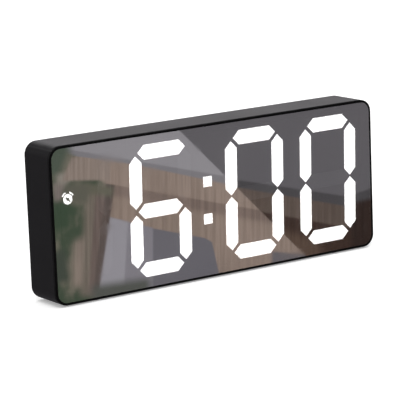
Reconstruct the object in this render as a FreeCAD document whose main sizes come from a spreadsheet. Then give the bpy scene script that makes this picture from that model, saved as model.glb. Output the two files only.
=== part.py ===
import FreeCAD, Part
import math
import os
import re
from collections import namedtuple
import Sketcher
from FreeCAD import Placement, Rotation, Vector

# Digital LED desk clock with a mirrored front, lengths in millimetres.
# X runs to the right as seen from the front, Y from the front to the rear, Z up.
# The origin is on the surface that the feet stand on, under the middle of the case.

# Driving sizes: word for the cell, value, what it is
SIZES = [
    ("case_width", 165.0, "outside width of the case"),
    ("case_height", 66.0, "outside height of the case without feet"),
    ("board_gap", 0.6, "air between the display board and the battery bay"),
    ("case_corner", 5.5, "corner radius seen from the front"),
    ("case_wall", 2.0, "side wall thickness"),
    ("front_rim", 1.0, "width of the rim round the mirror"),
    ("front_round", 0.35, "rounding of the front edge"),
    ("rear_round", 0.5, "rounding of the rear edge"),
    ("lens_sunk", 0.1, "mirror face behind the rim"),
    ("lens_play", 0.1, "gap round the mirror"),
    ("lens_thickness", 1.4, "mirror panel"),
    ("tape_thickness", 0.2, "double-sided tape"),
    ("tape_inset", 0.6, "tape edge inside the mirror edge"),
    ("tape_lip", 0.4, "tape edge outside the display window"),
    ("shelf_thickness", 1.0, "shelf that carries the mirror"),
    ("shelf_end_width", 3.0, "shelf width at left and right"),
    ("shelf_top_width", 1.8, "shelf width at top and bottom"),
    ("reflector_play", 0.3, "gap between reflector and window"),
    ("reflector_depth", 3.2, "reflector block"),
    ("flange_reach", 1.3, "reflector strip behind the shelf"),
    ("flange_thickness", 1.0, "thickness of that strip"),
    ("peg_radius", 0.9, "reflector pegs through the display board"),
    ("peg_proud", 0.4, "riveted end of the pegs"),
    ("peg_end_inset", 3.6, "pegs in from the reflector's side"),
    ("peg_edge_inset", 2.2, "pegs in from the reflector's top and bottom"),
    ("figure_width_share", 0.2008, "outside width of a figure, of the reflector's width"),
    ("figure_margin", 0.8, "figures inside the reflector's top and bottom"),
    ("leading_place_share", -0.4437, "leading hour figure, of the reflector's width"),
    ("hour_place_share", -0.1872, "hour figure, of the reflector's width"),
    ("tens_place_share", 0.1256, "first minute figure, of the reflector's width"),
    ("ones_place_share", 0.3821, "last minute figure, of the reflector's width"),
    ("stroke", 6.6, "width of a segment"),
    ("segment_gap", 1.2, "black gap between two segments"),
    ("segment_round", 0.5, "rounding of the segments' tips"),
    ("slant_share", 0.023, "lean of the figures, as a slope"),
    ("insert_play", 0.05, "gap between an insert and its well"),
    ("insert_depth", 1.0, "thickness of the light inserts"),
    ("insert_ledge", 0.6, "ledge that an insert sits on"),
    ("colon_width", 4.5, "side of a colon dot"),
    ("colon_place_share", -0.0324, "colon, of the reflector's width"),
    ("colon_rise_share", 0.1423, "colon dots above and below the middle, of a figure's height"),
    ("symbol_inset", 3.5, "alarm symbol in from the reflector's side"),
    ("symbol_rise_share", 0.1817, "alarm symbol above the middle, of the reflector's height"),
    ("symbol_radius", 2.15, "dial of the alarm symbol"),
    ("bell_inner", 2.55, "inner radius of the bell caps"),
    ("bell_outer", 3.15, "outer radius of the bell caps"),
    ("bell_angle", 44, "angle that one bell cap covers"),
    ("bell_lean", 28, "start of a bell cap from level"),
    ("led_length", 2.0, "light-emitting chip, long side"),
    ("led_width", 1.25, "light-emitting chip, short side"),
    ("led_height", 0.8, "light-emitting chip, height"),
    ("led_place_share", 0.46, "chips from the middle of a segment towards its tip"),
    ("board_thickness", 1.0, "both circuit boards"),
    ("board_end_play", 4.9, "display board short of the case wall"),
    ("board_top_play", 0.7, "display board below the case wall"),
    ("hole_play", 0.1, "gap round a peg or a pin"),
    ("cover_sunk", 0.5, "rear cover inside the rear rim"),
    ("cover_thickness", 1.5, "rear cover plate"),
    ("cover_seat", 1.0, "ledge in the wall that the rear cover sits on"),
    ("cover_play", 0.15, "gap round the rear cover"),
    ("boss_radius", 2.25, "screw boss in the case"),
    ("boss_bite", 0.3, "boss sunk in the side wall"),
    ("boss_inset", 9.0, "bosses below and above the case walls"),
    ("boss_short", 1.0, "boss end short of the cover plate"),
    ("boss_notch", 0.4, "gap between reflector and boss"),
    ("screw_radius", 0.95, "shank of the rear screws"),
    ("screw_length", 8.0, "shank length of the rear screws"),
    ("screw_head_radius", 1.8, "head of the rear screws"),
    ("screw_head_height", 1.0, "head height of the rear screws"),
    ("screw_sink", 1.2, "depth of the screw wells in the cover"),
    ("screw_play", 0.2, "gap round shank and head"),
    ("post_radius", 2.0, "clamp posts that press the display board"),
    ("post_inset", 9.0, "clamp posts beside the bosses"),
    ("post_edge_inset", 8.0, "clamp posts below and above the case walls"),
    ("cell_radius", 5.25, "AAA cell"),
    ("cell_length", 43.7, "AAA cell without its nub"),
    ("nub_radius", 1.9, "nub of the cell"),
    ("nub_height", 0.8, "nub of the cell"),
    ("cell_edge", 0.5, "rounded edge of the cell"),
    ("cell_gap", 0.9, "gap between two cells"),
    ("cell_play", 0.05, "cells in front of the cover plate's inner face"),
    ("cell_floor_gap", 0.15, "cells above the floor of the bay"),
    ("bay_low_share", 0.425, "free height left below the battery bay"),
    ("row_top_share", 0.3, "free height left above the control board"),
    ("bay_wall", 1.6, "walls of the battery bay"),
    ("bay_floor", 0.8, "floor of the battery bay"),
    ("rib_height", 2.4, "ribs between the cells"),
    ("rib_inset", 11.0, "ribs short of the cells' ends"),
    ("spring_length", 5.0, "battery spring as fitted"),
    ("spring_base", 3.4, "radius of the spring's wide end"),
    ("spring_tip", 1.7, "radius of the spring's narrow end"),
    ("wire_radius", 0.25, "wire of the spring"),
    ("plate_thickness", 0.3, "battery contact plates"),
    ("plate_width", 9.0, "contact plates, width and height"),
    ("dimple_radius", 1.5, "pressed dimple of a positive contact"),
    ("dimple_height", 0.5, "pressed dimple of a positive contact"),
    ("tab_width", 2.4, "solder tab of a contact"),
    ("tab_length", 2.6, "solder tab past the bay wall"),
    ("door_ledge", 0.8, "bay wall left under the door's edge"),
    ("door_play", 0.3, "gap round the battery door"),
    ("door_thickness", 1.2, "battery door plate"),
    ("hook_width", 6.0, "hooks of the battery door"),
    ("hook_distance", 16.0, "hooks from the middle"),
    ("hook_drop", 1.2, "hook below the edge of the door"),
    ("hook_thickness", 0.8, "hook plate"),
    ("hook_clear", 0.3, "hook in front of the cover plate"),
    ("hook_root", 1.0, "height of the hook's stem"),
    ("slot_depth", 4.8, "slot for a hook in the bay wall"),
    ("latch_width", 9.0, "latch tongue of the battery door"),
    ("latch_drop", 6.0, "height of the latch tongue"),
    ("latch_slit", 0.6, "slits beside the latch tongue"),
    ("notch_radius", 5.5, "finger notch in the cover above the door"),
    ("notch_depth", 0.9, "depth of the finger notch"),
    ("notch_rise", 1.8, "middle of the finger notch above the door"),
    ("grip_pitch", 1.6, "grip lines on the door"),
    ("grip_width", 0.7, "width of a grip line"),
    ("grip_depth", 0.3, "depth of a grip line"),
    ("grip_length", 16.0, "length of a grip line"),
    ("row_start", 38.0, "first button left of the middle"),
    ("row_gap", 2.8, "gap beside the posts that carry the control board"),
    ("board_margin", 0.5, "control board beyond its outer posts"),
    ("control_height", 11.0, "control board"),
    ("tact_width", 6.0, "tact switch body"),
    ("tact_height", 3.5, "tact switch body"),
    ("tact_edge", 0.5, "cut corners of the tact switch"),
    ("plunger_radius", 1.7, "tact switch plunger"),
    ("plunger_proud", 0.8, "plunger above the switch body"),
    ("plunger_depth", 0.8, "plunger inside the switch body"),
    ("plunger_well", 1.5, "depth of the plunger's well"),
    ("plunger_play", 0.2, "gap round the plunger"),
    ("cap_radius", 3.3, "button cap"),
    ("cap_play", 0.3, "gap round a button cap"),
    ("cap_flange", 0.8, "flange that keeps the cap in"),
    ("cap_flange_reach", 0.9, "flange beyond the cap"),
    ("cap_flange_gap", 0.3, "flange below the cover"),
    ("cap_proud", 0.5, "cap proud of the cover"),
    ("cap_dish", 0.25, "dished face of the cap"),
    ("cap_pitch", 14.0, "step between the buttons"),
    ("board_post_radius", 2.0, "posts that carry the control board"),
    ("board_screw_radius", 0.8, "shank of the board screws"),
    ("board_screw_length", 4.0, "shank length of the board screws"),
    ("board_head_radius", 1.6, "head of the board screws"),
    ("board_head_height", 1.0, "head height of the board screws"),
    ("slide_length", 8.6, "slide switch body"),
    ("slide_width", 3.8, "slide switch body"),
    ("slide_height", 3.6, "slide switch body"),
    ("slide_wall", 0.8, "walls of the slide switch body"),
    ("slide_travel", 2.0, "travel of the knob"),
    ("knob_length", 1.6, "knob along its travel"),
    ("knob_width", 1.5, "knob across its travel"),
    ("knob_foot", 1.6, "knob inside the switch body"),
    ("knob_base", 0.8, "wide base of the knob"),
    ("knob_short", 0.3, "knob end inside the rear rim"),
    ("knob_play", 0.3, "gap round the knob"),
    ("usb_gap", 12.0, "gap between slide switch and power socket"),
    ("usb_post_gap", 7.0, "gap between power socket and the last post"),
    ("usb_width", 7.5, "power socket shell"),
    ("usb_height", 2.9, "power socket shell"),
    ("usb_wall", 0.3, "power socket shell"),
    ("usb_cut", 0.9, "slanted corners of the shell"),
    ("usb_short", 0.4, "socket mouth inside the cover's outer face"),
    ("usb_play", 0.35, "gap between socket and cover"),
    ("usb_tongue_width", 4.4, "insert of the power socket"),
    ("usb_tongue_thickness", 0.6, "insert of the power socket"),
    ("usb_tongue_short", 0.8, "insert end inside the mouth"),
    ("usb_tongue_rise", 0.4, "insert above the middle of the socket"),
    ("header_pins", 8, "number of pins in the header"),
    ("header_pitch", 2.54, "pin header"),
    ("header_body", 2.5, "plastic strip of the header, both ways"),
    ("header_drop", 1.9, "header below the control board's top"),
    ("pin_width", 0.6, "header pins"),
    ("buzzer_radius", 6.0, "buzzer"),
    ("buzzer_height", 6.5, "buzzer"),
    ("buzzer_hole", 1.0, "sound hole of the buzzer"),
    ("buzzer_place_share", 0.6, "buzzer between battery bay and board edge"),
    ("buzzer_drop", 6.0, "buzzer below the middle"),
    ("buzzer_round", 0.6, "rounded edge of the buzzer"),
    ("sound_radius", 0.75, "sound holes in the rear cover"),
    ("sound_ring", 2.6, "ring of sound holes"),
    ("chip_length", 17.9, "driver chip, along Z"),
    ("chip_width", 7.5, "driver chip"),
    ("chip_height", 2.3, "driver chip"),
    ("chip_place_share", 0.475, "driver chip between battery bay and board edge"),
    ("chip_drop", 4.0, "driver chip below the middle"),
    ("leg_pitch", 1.27, "driver chip legs"),
    ("leg_width", 0.4, "driver chip legs"),
    ("leg_reach", 1.4, "driver chip legs"),
    ("leg_thickness", 0.3, "driver chip legs"),
    ("leg_rows", 14, "legs on each side of the driver chip"),
    ("crystal_length", 11.0, "crystal can"),
    ("crystal_width", 4.5, "crystal can"),
    ("crystal_height", 3.5, "crystal can"),
    ("crystal_round_share", 0.45, "rounding of the crystal's corners, of its width"),
    ("crystal_place_share", 0.23, "crystal between battery bay and board edge"),
    ("crystal_drop", 4.0, "crystal below the middle"),
    ("capacitor_radius", 2.5, "capacitor"),
    ("capacitor_height", 5.4, "capacitor"),
    ("capacitor_place_share", 0.74, "capacitor between battery bay and board edge"),
    ("capacitor_drop", 8.0, "capacitor below the middle"),
    ("capacitor_bead", 0.3, "groove round the capacitor"),
    ("bead_place_share", 0.25, "groove above the board, of the capacitor's height"),
    ("lead_radius", 0.6, "battery leads over their insulation"),
    ("lead_bend", 6.0, "bend radius of the leads"),
    ("lead_swing", 2.5, "leads drawn out beside the bay"),
    ("lead_end", 1.5, "lead ends above the control board's lower edge"),
    ("foot_radius", 3.5, "rubber foot"),
    ("foot_proud", 0.6, "foot below the case"),
    ("foot_sunk", 0.6, "recess for the foot"),
    ("foot_edge", 0.2, "chamfer of the foot"),
    ("foot_end_inset", 20.5, "feet in from the ends of the case"),
    ("foot_row_share", 0.23, "feet in front of and behind the middle, of the case depth"),
    ("overrun", 1.0, "how far cutting tools run past a face"),
]

# Words that the sheet's expressions use for functions, not for cells
FUNCTIONS = ("sqrt",)
WORD = re.compile(r"[a-z][a-z0-9_]*")

# Places that several pieces share, written in the sheet's words
# The depth follows from what lies behind the mirror, down to the cells and the cover
CASE_DEPTH = ("(lens_sunk + lens_thickness + tape_thickness + reflector_depth + board_thickness + board_gap"
              " + bay_floor + cell_floor_gap + 2 * cell_radius + cell_play + cover_thickness + cover_sunk)")
MIDDLE = "(foot_proud + case_height / 2)"
CASE_TOP = "(foot_proud + case_height)"
FRONT = f"(-{CASE_DEPTH} / 2)"
REAR = f"({CASE_DEPTH} / 2)"
LENS_FRONT = f"({FRONT} + lens_sunk)"
LENS_BACK = f"({LENS_FRONT} + lens_thickness)"
SHELF_FRONT = f"({LENS_BACK} + tape_thickness)"
SHELF_BACK = f"({SHELF_FRONT} + shelf_thickness)"
BOARD_FRONT = f"({SHELF_FRONT} + reflector_depth)"
BOARD_BACK = f"({BOARD_FRONT} + board_thickness)"
COVER_BACK = f"({REAR} - cover_sunk)"
COVER_FRONT = f"({COVER_BACK} - cover_thickness)"
BOSS_END = f"({COVER_FRONT} - boss_short)"
CAVITY_WIDTH = "(case_width - 2 * case_wall)"
CAVITY_HEIGHT = "(case_height - 2 * case_wall)"
CAVITY_CORNER = "(case_corner - case_wall)"
LENS_WIDTH = "(case_width - 2 * front_rim)"
LENS_HEIGHT = "(case_height - 2 * front_rim)"
LENS_CORNER = "(case_corner - front_rim)"
WINDOW_WIDTH = f"({CAVITY_WIDTH} - 2 * shelf_end_width)"
WINDOW_HEIGHT = f"({CAVITY_HEIGHT} - 2 * shelf_top_width)"
BOSS_X = f"({CAVITY_WIDTH} / 2 - boss_radius + boss_bite)"
BOSS_RISE = f"({CAVITY_HEIGHT} / 2 - boss_inset)"
POST_X = f"({BOSS_X} - post_inset)"
POST_RISE = f"({CAVITY_HEIGHT} / 2 - post_edge_inset)"
FOOT_X = "(case_width / 2 - foot_end_inset)"
FOOT_Y = f"(foot_row_share * {CASE_DEPTH})"
REFLECTOR_WIDTH = f"({WINDOW_WIDTH} - 2 * reflector_play)"
REFLECTOR_HEIGHT = f"({WINDOW_HEIGHT} - 2 * reflector_play)"
PEG_X = f"({REFLECTOR_WIDTH} / 2 - peg_end_inset)"
PEG_Z = f"({REFLECTOR_HEIGHT} / 2 - peg_edge_inset)"
BOARD_WIDTH = f"({CAVITY_WIDTH} - 2 * board_end_play)"
BOARD_HEIGHT = f"({CAVITY_HEIGHT} - 2 * board_top_play)"
CELL_PITCH = "(2 * cell_radius + cell_gap)"
BAY_HEIGHT = f"(3 * {CELL_PITCH})"
FREE_HEIGHT = f"({CAVITY_HEIGHT} - {BAY_HEIGHT} - 2 * bay_wall - control_height)"
CELL_Y = f"({COVER_FRONT} - cell_play - cell_radius)"
BAY_BACK = f"({CELL_Y} - cell_radius - cell_floor_gap)"
BAY_LOW = f"(foot_proud + case_wall + bay_low_share * {FREE_HEIGHT} + bay_wall)"
BAY_HIGH = f"({BAY_LOW} + {BAY_HEIGHT})"
BAY_MIDDLE = f"({BAY_LOW} + {BAY_HEIGHT} / 2)"
BAY_LENGTH = "(cell_length + nub_height + dimple_height + 2 * plate_thickness + spring_length)"
BAY_END = f"({BAY_LENGTH} / 2)"
DOOR_WIDTH = f"({BAY_LENGTH} + 2 * bay_wall - 2 * door_ledge - 2 * door_play)"
DOOR_LOW = f"({BAY_LOW} - bay_wall + door_ledge + door_play)"
DOOR_HIGH = f"({BAY_HIGH} + bay_wall - door_ledge - door_play)"
DOOR_FRONT = f"({COVER_BACK} - door_thickness)"
ROW = f"({CASE_TOP} - case_wall - row_top_share * {FREE_HEIGHT} - control_height / 2)"
CONTROL_BACK = f"({COVER_FRONT} - cap_flange_gap - cap_flange - plunger_proud - tact_height)"
CONTROL_FRONT = f"({CONTROL_BACK} - board_thickness)"
LEAD_Y = f"({CONTROL_FRONT} - lead_radius)"
TACT_TOP = f"({CONTROL_BACK} + tact_height)"
PLUNGER_TIP = f"({TACT_TOP} + plunger_proud)"
# The row of controls from left to right, each beside the last: buttons, switch, socket and posts
BUTTON_PLACES = [f"(-row_start + {step} * cap_pitch)" for step in range(3)]
CAP_REACH = "(cap_radius + cap_flange_reach)"
POST_STEP = "(row_gap + board_post_radius)"
SLIDE_X = f"({BUTTON_PLACES[2]} + {CAP_REACH} + 2 * {POST_STEP} + slide_length / 2)"
USB_X = f"({SLIDE_X} + slide_length / 2 + usb_gap + usb_width / 2)"
BOARD_POST_PLACES = [f"({BUTTON_PLACES[0]} - {CAP_REACH} - {POST_STEP})",
                     f"({BUTTON_PLACES[2]} + {CAP_REACH} + {POST_STEP})",
                     f"({USB_X} + usb_width / 2 + usb_post_gap + board_post_radius)"]
CONTROL_LEFT = f"({BOARD_POST_PLACES[0]} - board_post_radius - board_margin)"
CONTROL_RIGHT = f"({BOARD_POST_PLACES[2]} + board_post_radius + board_margin)"

# What stands on the display board beside the battery bay
BAY_SIDE = f"({BAY_END} + bay_wall)"
BOARD_FREE = f"({BOARD_WIDTH} / 2 - {BAY_SIDE})"
BUZZER_X = f"(-{BAY_SIDE} - buzzer_place_share * {BOARD_FREE})"
CHIP_X = f"({BAY_SIDE} + chip_place_share * {BOARD_FREE})"
CRYSTAL_X = f"({BAY_SIDE} + crystal_place_share * {BOARD_FREE})"
CAPACITOR_X = f"({BAY_SIDE} + capacitor_place_share * {BOARD_FREE})"

# Each figure by the name of its insert node: its middle, and the segments that it has
FIGURES = {
    "segments_leading": (f"(leading_place_share * {REFLECTOR_WIDTH})", "bc"),
    "segments_hours": (f"(hour_place_share * {REFLECTOR_WIDTH})", "abcdefg"),
    "segments_minute_tens": (f"(tens_place_share * {REFLECTOR_WIDTH})", "abcdefg"),
    "segments_minute_ones": (f"(ones_place_share * {REFLECTOR_WIDTH})", "abcdefg"),
}

# Where a segment lies in its figure: columns and rows counted from the middle, and its direction
SEGMENT_PLACES = {
    "a": (0, 2, "level"),
    "b": (1, 1, "upright"),
    "c": (1, -1, "upright"),
    "d": (0, -2, "level"),
    "e": (-1, -1, "upright"),
    "f": (-1, 1, "upright"),
    "g": (0, 0, "level"),
}
FIGURE_WIDTH = f"(figure_width_share * {REFLECTOR_WIDTH})"
FIGURE_HEIGHT = f"({REFLECTOR_HEIGHT} - 2 * figure_margin)"
COLUMN = f"(({FIGURE_WIDTH} - stroke) / 2)"
ROW_STEP = f"(({FIGURE_HEIGHT} - stroke) / 4)"
COLON_X = f"(colon_place_share * {REFLECTOR_WIDTH})"
COLON_RISE = f"(colon_rise_share * {FIGURE_HEIGHT})"
SYMBOL_X = f"(symbol_inset - {REFLECTOR_WIDTH} / 2)"
SYMBOL_Z = f"({MIDDLE} + symbol_rise_share * {REFLECTOR_HEIGHT})"
TIP_GAP = "(segment_gap / sqrt(2))"

NEAR = 1e-4

# How many of the small repeated features there are
SOUND_HOLES = 6
GRIP_LINES = 4
CELLS = 3
SPRING_TURNS = 3
ARCS_PER_TURN = 2
WIRE_FLATS = 6

# The coil's gap is measured on this many points in each turn, at least most of a turn apart
SAMPLES_PER_TURN = 48
SAMPLES_APART = 36

# A bend in a lead takes at most this share of the run beside it
BEND_SHARE = 0.45

doc = FreeCAD.newDocument("desk_clock")
sheet = doc.addObject("Spreadsheet::Sheet", "sizes")
nodes = {}


def fill_sheet():
    """Writes one row per driving size: its word, its number and what it is."""
    for index, (word, number, meaning) in enumerate(SIZES):
        line = index + 1
        sheet.set(f"A{line}", word)
        sheet.set(f"B{line}", str(number))
        sheet.set(f"C{line}", meaning)
        sheet.setAlias(f"B{line}", word)
    doc.recompute()


def bound(text):
    """The text of a size or place with each word pointed at its cell."""
    def to_cell(match):
        word = match.group(0)
        return word if word in FUNCTIONS else "sizes." + word
    return WORD.sub(to_cell, text)


def number_of(text):
    """The present value of a size or place."""
    return float(sheet.evalExpression(text))


def tie(thing, field, text):
    thing.setExpression(field, bound(text))


def name_node(thing, node):
    """Keeps a finished sub-part under the name that its file gets."""
    thing.Label = node
    nodes[node] = thing
    return thing


# Sketches and the features made from them

def new_body(name):
    return doc.addObject("PartDesign::Body", name)


def origin_plane(body, role):
    for feature in body.Origin.OriginFeatures:
        if feature.Role == role:
            return feature
    raise ValueError("no plane " + role)


def rectangle(width, height, x="0", z=MIDDLE):
    """Corners of an upright rectangle round the point x, z."""
    left, right = f"{x} - {width} / 2", f"{x} + {width} / 2"
    low, high = f"{z} - {height} / 2", f"{z} + {height} / 2"
    return [(left, low), (right, low), (right, high), (left, high)]


# A rectangle with rounded corners: its corners as rectangle() gives them, and their radius
Rounded = namedtuple("Rounded", "corners radius")

# For each corner of a rectangle: which way its arc's centre lies, and the arc's first quarter
CORNER_ARCS = ((1, 1, 2), (-1, 1, 3), (-1, -1, 0), (1, -1, 1))


def draw(sketch, shapes):
    """Draws closed outlines (lists of corners), rounded ones and circles (x, z, radius), all bound."""
    ties = []
    rules = []

    def bind_point(curve, point, x, z):
        for kind, text in (("DistanceX", x), ("DistanceY", z)):
            ties.append((len(rules), text))
            rules.append(Sketcher.Constraint(kind, -1, 1, curve, point, number_of(text)))

    def bind_radius(curve, text):
        ties.append((len(rules), text))
        rules.append(Sketcher.Constraint("Radius", curve, number_of(text)))

    for shape in shapes:
        if isinstance(shape, Rounded):
            draw_rounded(sketch, shape, rules, bind_point, bind_radius)
            continue
        if isinstance(shape, tuple):
            x, z, radius = shape
            centre = Vector(number_of(x), number_of(z), 0)
            circle = Part.Circle(centre, Vector(0, 0, 1), number_of(radius))
            curve = sketch.addGeometry(circle, False)
            bind_point(curve, 3, x, z)
            bind_radius(curve, radius)
            continue
        points = [Vector(number_of(x), number_of(z), 0) for x, z in shape]
        lines = [Part.LineSegment(point, points[(index + 1) % len(points)])
                 for index, point in enumerate(points)]
        curves = sketch.addGeometry(lines, False)
        for index, (x, z) in enumerate(shape):
            following = curves[(index + 1) % len(curves)]
            rules.append(Sketcher.Constraint("Coincident", curves[index], 2, following, 1))
            bind_point(curves[index], 1, x, z)
    sketch.addConstraint(rules)
    for index, text in ties:
        tie(sketch, f"Constraints[{index}]", text)


def draw_rounded(sketch, shape, rules, bind_point, bind_radius):
    """Four arcs, each held by its centre and radius, joined by four straight sides."""
    radius = number_of(shape.radius)
    arcs = []
    for (x, z), (right, up, quarter) in zip(shape.corners, CORNER_ARCS):
        centre_x, centre_z = f"{x} + {right} * {shape.radius}", f"{z} + {up} * {shape.radius}"
        centre = Vector(number_of(centre_x), number_of(centre_z), 0)
        circle = Part.Circle(centre, Vector(0, 0, 1), radius)
        arc = Part.ArcOfCircle(circle, quarter * math.pi / 2, (quarter + 1) * math.pi / 2)
        curve = sketch.addGeometry(arc, False)
        bind_point(curve, 3, centre_x, centre_z)
        bind_radius(curve, shape.radius)
        level, upright = ("Horizontal", "Vertical") if quarter % 2 == 0 else ("Vertical", "Horizontal")
        rules.append(Sketcher.Constraint(level, curve, 3, curve, 1))
        rules.append(Sketcher.Constraint(upright, curve, 3, curve, 2))
        arcs.append((curve, arc))
    for index, (curve, arc) in enumerate(arcs):
        following, next_arc = arcs[(index + 1) % len(arcs)]
        side = sketch.addGeometry(Part.LineSegment(arc.EndPoint, next_arc.StartPoint), False)
        rules.append(Sketcher.Constraint("Coincident", side, 1, curve, 2))
        rules.append(Sketcher.Constraint("Coincident", side, 2, following, 1))


def sketch_at(body, name, shapes, depth, role="XZ_Plane"):
    """A sketch on the body's own upright plane, moved back to the given depth."""
    sketch = body.newObject("Sketcher::SketchObject", name + "_outline")
    sketch.AttachmentSupport = [(origin_plane(body, role), "")]
    sketch.MapMode = "FlatFace"
    tie(sketch, "AttachmentOffset.Base.z", f"-({depth})" if role == "XZ_Plane" else depth)
    draw(sketch, shapes)
    sketch.recompute()
    return sketch


def pad(body, name, shapes, back, depth):
    """Adds material from the back depth forward, towards the front of the clock."""
    sketch = sketch_at(body, name, shapes, back)
    feature = body.newObject("PartDesign::Pad", name)
    feature.Profile = sketch
    tie(feature, "Length", depth)
    feature.recompute()
    return feature


def pocket(body, name, shapes, start, depth, rearward=True):
    """Cuts from the start depth, rearward or towards the front, and checks that it cuts."""
    before = body.Tip.Shape.Volume
    sketch = sketch_at(body, name, shapes, start)
    feature = body.newObject("PartDesign::Pocket", name)
    feature.Profile = sketch
    feature.Reversed = not rearward
    tie(feature, "Length", depth)
    feature.recompute()
    if feature.Shape.Volume > before - NEAR:
        raise ValueError(name + " cuts nothing")
    return feature


def edge_names(shape, wanted):
    return [f"Edge{index + 1}" for index, edge in enumerate(shape.Edges) if wanted(edge)]


def is_along_y(edge):
    return len(edge.Vertexes) == 2 and abs(abs(edge.tangentAt(edge.FirstParameter).y) - 1) < NEAR


def round_corners(body, name, corners, radius):
    """Rounds the edges that run front to rear through the given corners."""
    places = [(number_of(x), number_of(z)) for x, z in corners]

    def wanted(edge):
        spot = edge.Vertexes[0].Point
        return is_along_y(edge) and any(math.hypot(spot.x - x, spot.z - z) < NEAR for x, z in places)

    base = body.Tip
    feature = body.newObject("PartDesign::Fillet", name)
    feature.Base = (base, edge_names(base.Shape, wanted))
    tie(feature, "Radius", radius)
    feature.recompute()
    return feature


def round_rim(body, name, depth, radius, kind="PartDesign::Fillet", within=None):
    """Rounds or chamfers every edge that lies at one depth, or those within a test."""
    level = number_of(depth)

    def wanted(edge):
        flat = all(abs(vertex.Point.y - level) < NEAR for vertex in edge.Vertexes)
        return flat and not is_along_y(edge) and (within is None or within(edge))

    base = body.Tip
    feature = body.newObject(kind, name)
    feature.Base = (base, edge_names(base.Shape, wanted))
    tie(feature, "Radius" if kind.endswith("Fillet") else "Size", radius)
    feature.recompute()
    return feature


# Primitives, joined and cut

def place(thing, x, y, z):
    tie(thing, "Placement.Base.x", x)
    tie(thing, "Placement.Base.y", y)
    tie(thing, "Placement.Base.z", z)


def box(name, x, y, z):
    """A block between pairs of places along X, Y and Z."""
    block = doc.addObject("Part::Box", name)
    for field, (low, high) in zip(("Length", "Width", "Height"), (x, y, z)):
        tie(block, field, f"({high}) - ({low})")
    place(block, x[0], y[0], z[0])
    return block


def rod(name, x, z, y, radius):
    """A cylinder along Y between a pair of places."""
    cylinder = doc.addObject("Part::Cylinder", name)
    cylinder.Placement = Placement(Vector(), Rotation(Vector(1, 0, 0), -90))
    tie(cylinder, "Radius", radius)
    tie(cylinder, "Height", f"({y[1]}) - ({y[0]})")
    place(cylinder, x, y[0], z)
    return cylinder


def join(name, parts):
    fused = doc.addObject("Part::MultiFuse", name)
    fused.Shapes = parts
    return fused


def cut(name, base, tool):
    rest = doc.addObject("Part::Cut", name)
    rest.Base = base
    rest.Tool = tool
    return rest


def group(name, parts):
    """Several separate solids that share one node."""
    together = doc.addObject("Part::Compound", name)
    together.Links = parts
    return together


# Figures and the symbol

def segment_corners(middle, letter, inset="0"):
    """The six corners of one segment, slanted with its figure and drawn in by the inset."""
    column, row, direction = SEGMENT_PLACES[letter]
    x = f"{column} * {COLUMN}"
    z = f"{row} * {ROW_STEP}"
    half = f"(stroke / 2 - {inset})"
    reach = COLUMN if direction == "level" else ROW_STEP
    tip = f"({reach} - {TIP_GAP} - {inset} * sqrt(2))"
    shoulder = f"({tip} - {half})"
    along = [f"-{tip}", f"-{shoulder}", shoulder, tip, shoulder, f"-{shoulder}"]
    across = ["0", f"-{half}", f"-{half}", "0", half, half]
    pairs = zip(along, across) if direction == "level" else zip(across, along)
    corners = []
    for right, up in pairs:
        height = f"({z} + {up})"
        corners.append((f"{middle} + {x} + {right} + slant_share * {height}", f"{MIDDLE} + {height}"))
    return corners


def colon_corners(side, inset="0"):
    """The corners of one colon dot, above (1) or below (-1) the middle."""
    height = f"({side} * {COLON_RISE})"
    width = f"(colon_width - 2 * {inset})"
    return rectangle(width, width, f"({COLON_X} + slant_share * {height})", f"({MIDDLE} + {height})")


def bell_cap(name, start, depth, margin):
    """One ring sector of the alarm symbol, widened all round by a margin."""
    outer = rod(name + "_outer", SYMBOL_X, SYMBOL_Z, depth, f"bell_outer + {margin}")
    inner = rod(name + "_inner", SYMBOL_X, SYMBOL_Z, depth, f"bell_inner - {margin}")
    # The cylinder's own angle runs from +X towards -Z once it lies along Y
    turn = Rotation(Vector(0, 1, 0), -number_of(start) - number_of("bell_angle"))
    for cylinder in (outer, inner):
        cylinder.Placement = Placement(Vector(), turn * Rotation(Vector(1, 0, 0), -90))
        tie(cylinder, "Angle", "bell_angle")
        place(cylinder, SYMBOL_X, depth[0], SYMBOL_Z)
    return cut(name, outer, inner)


def make_inserts():
    back = f"({SHELF_FRONT} + insert_depth)"
    for node, (middle, letters) in FIGURES.items():
        body = new_body(node)
        outlines = [segment_corners(middle, letter, "insert_play") for letter in letters]
        pad(body, node + "_plates", outlines, back, "insert_depth")
        tips = [corner for outline in outlines for corner in (outline[0], outline[3])]
        round_corners(body, node + "_tips", tips, "segment_round")
        name_node(body, node)
    colon = new_body("colon_dots")
    dots = [colon_corners(side, "insert_play") for side in (1, -1)]
    pad(colon, "colon_plates", dots, back, "insert_depth")
    round_corners(colon, "colon_corners", dots[0] + dots[1], "segment_round / 2")
    name_node(colon, "colon_dots")
    depth = (SHELF_FRONT, back)
    dial = rod("symbol_dial", SYMBOL_X, SYMBOL_Z, depth, "symbol_radius")
    right = bell_cap("symbol_right_bell", "bell_lean", depth, "0")
    left = bell_cap("symbol_left_bell", "180 - bell_lean - bell_angle", depth, "0")
    name_node(group("alarm_symbol", [dial, right, left]), "alarm_symbol")


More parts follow.
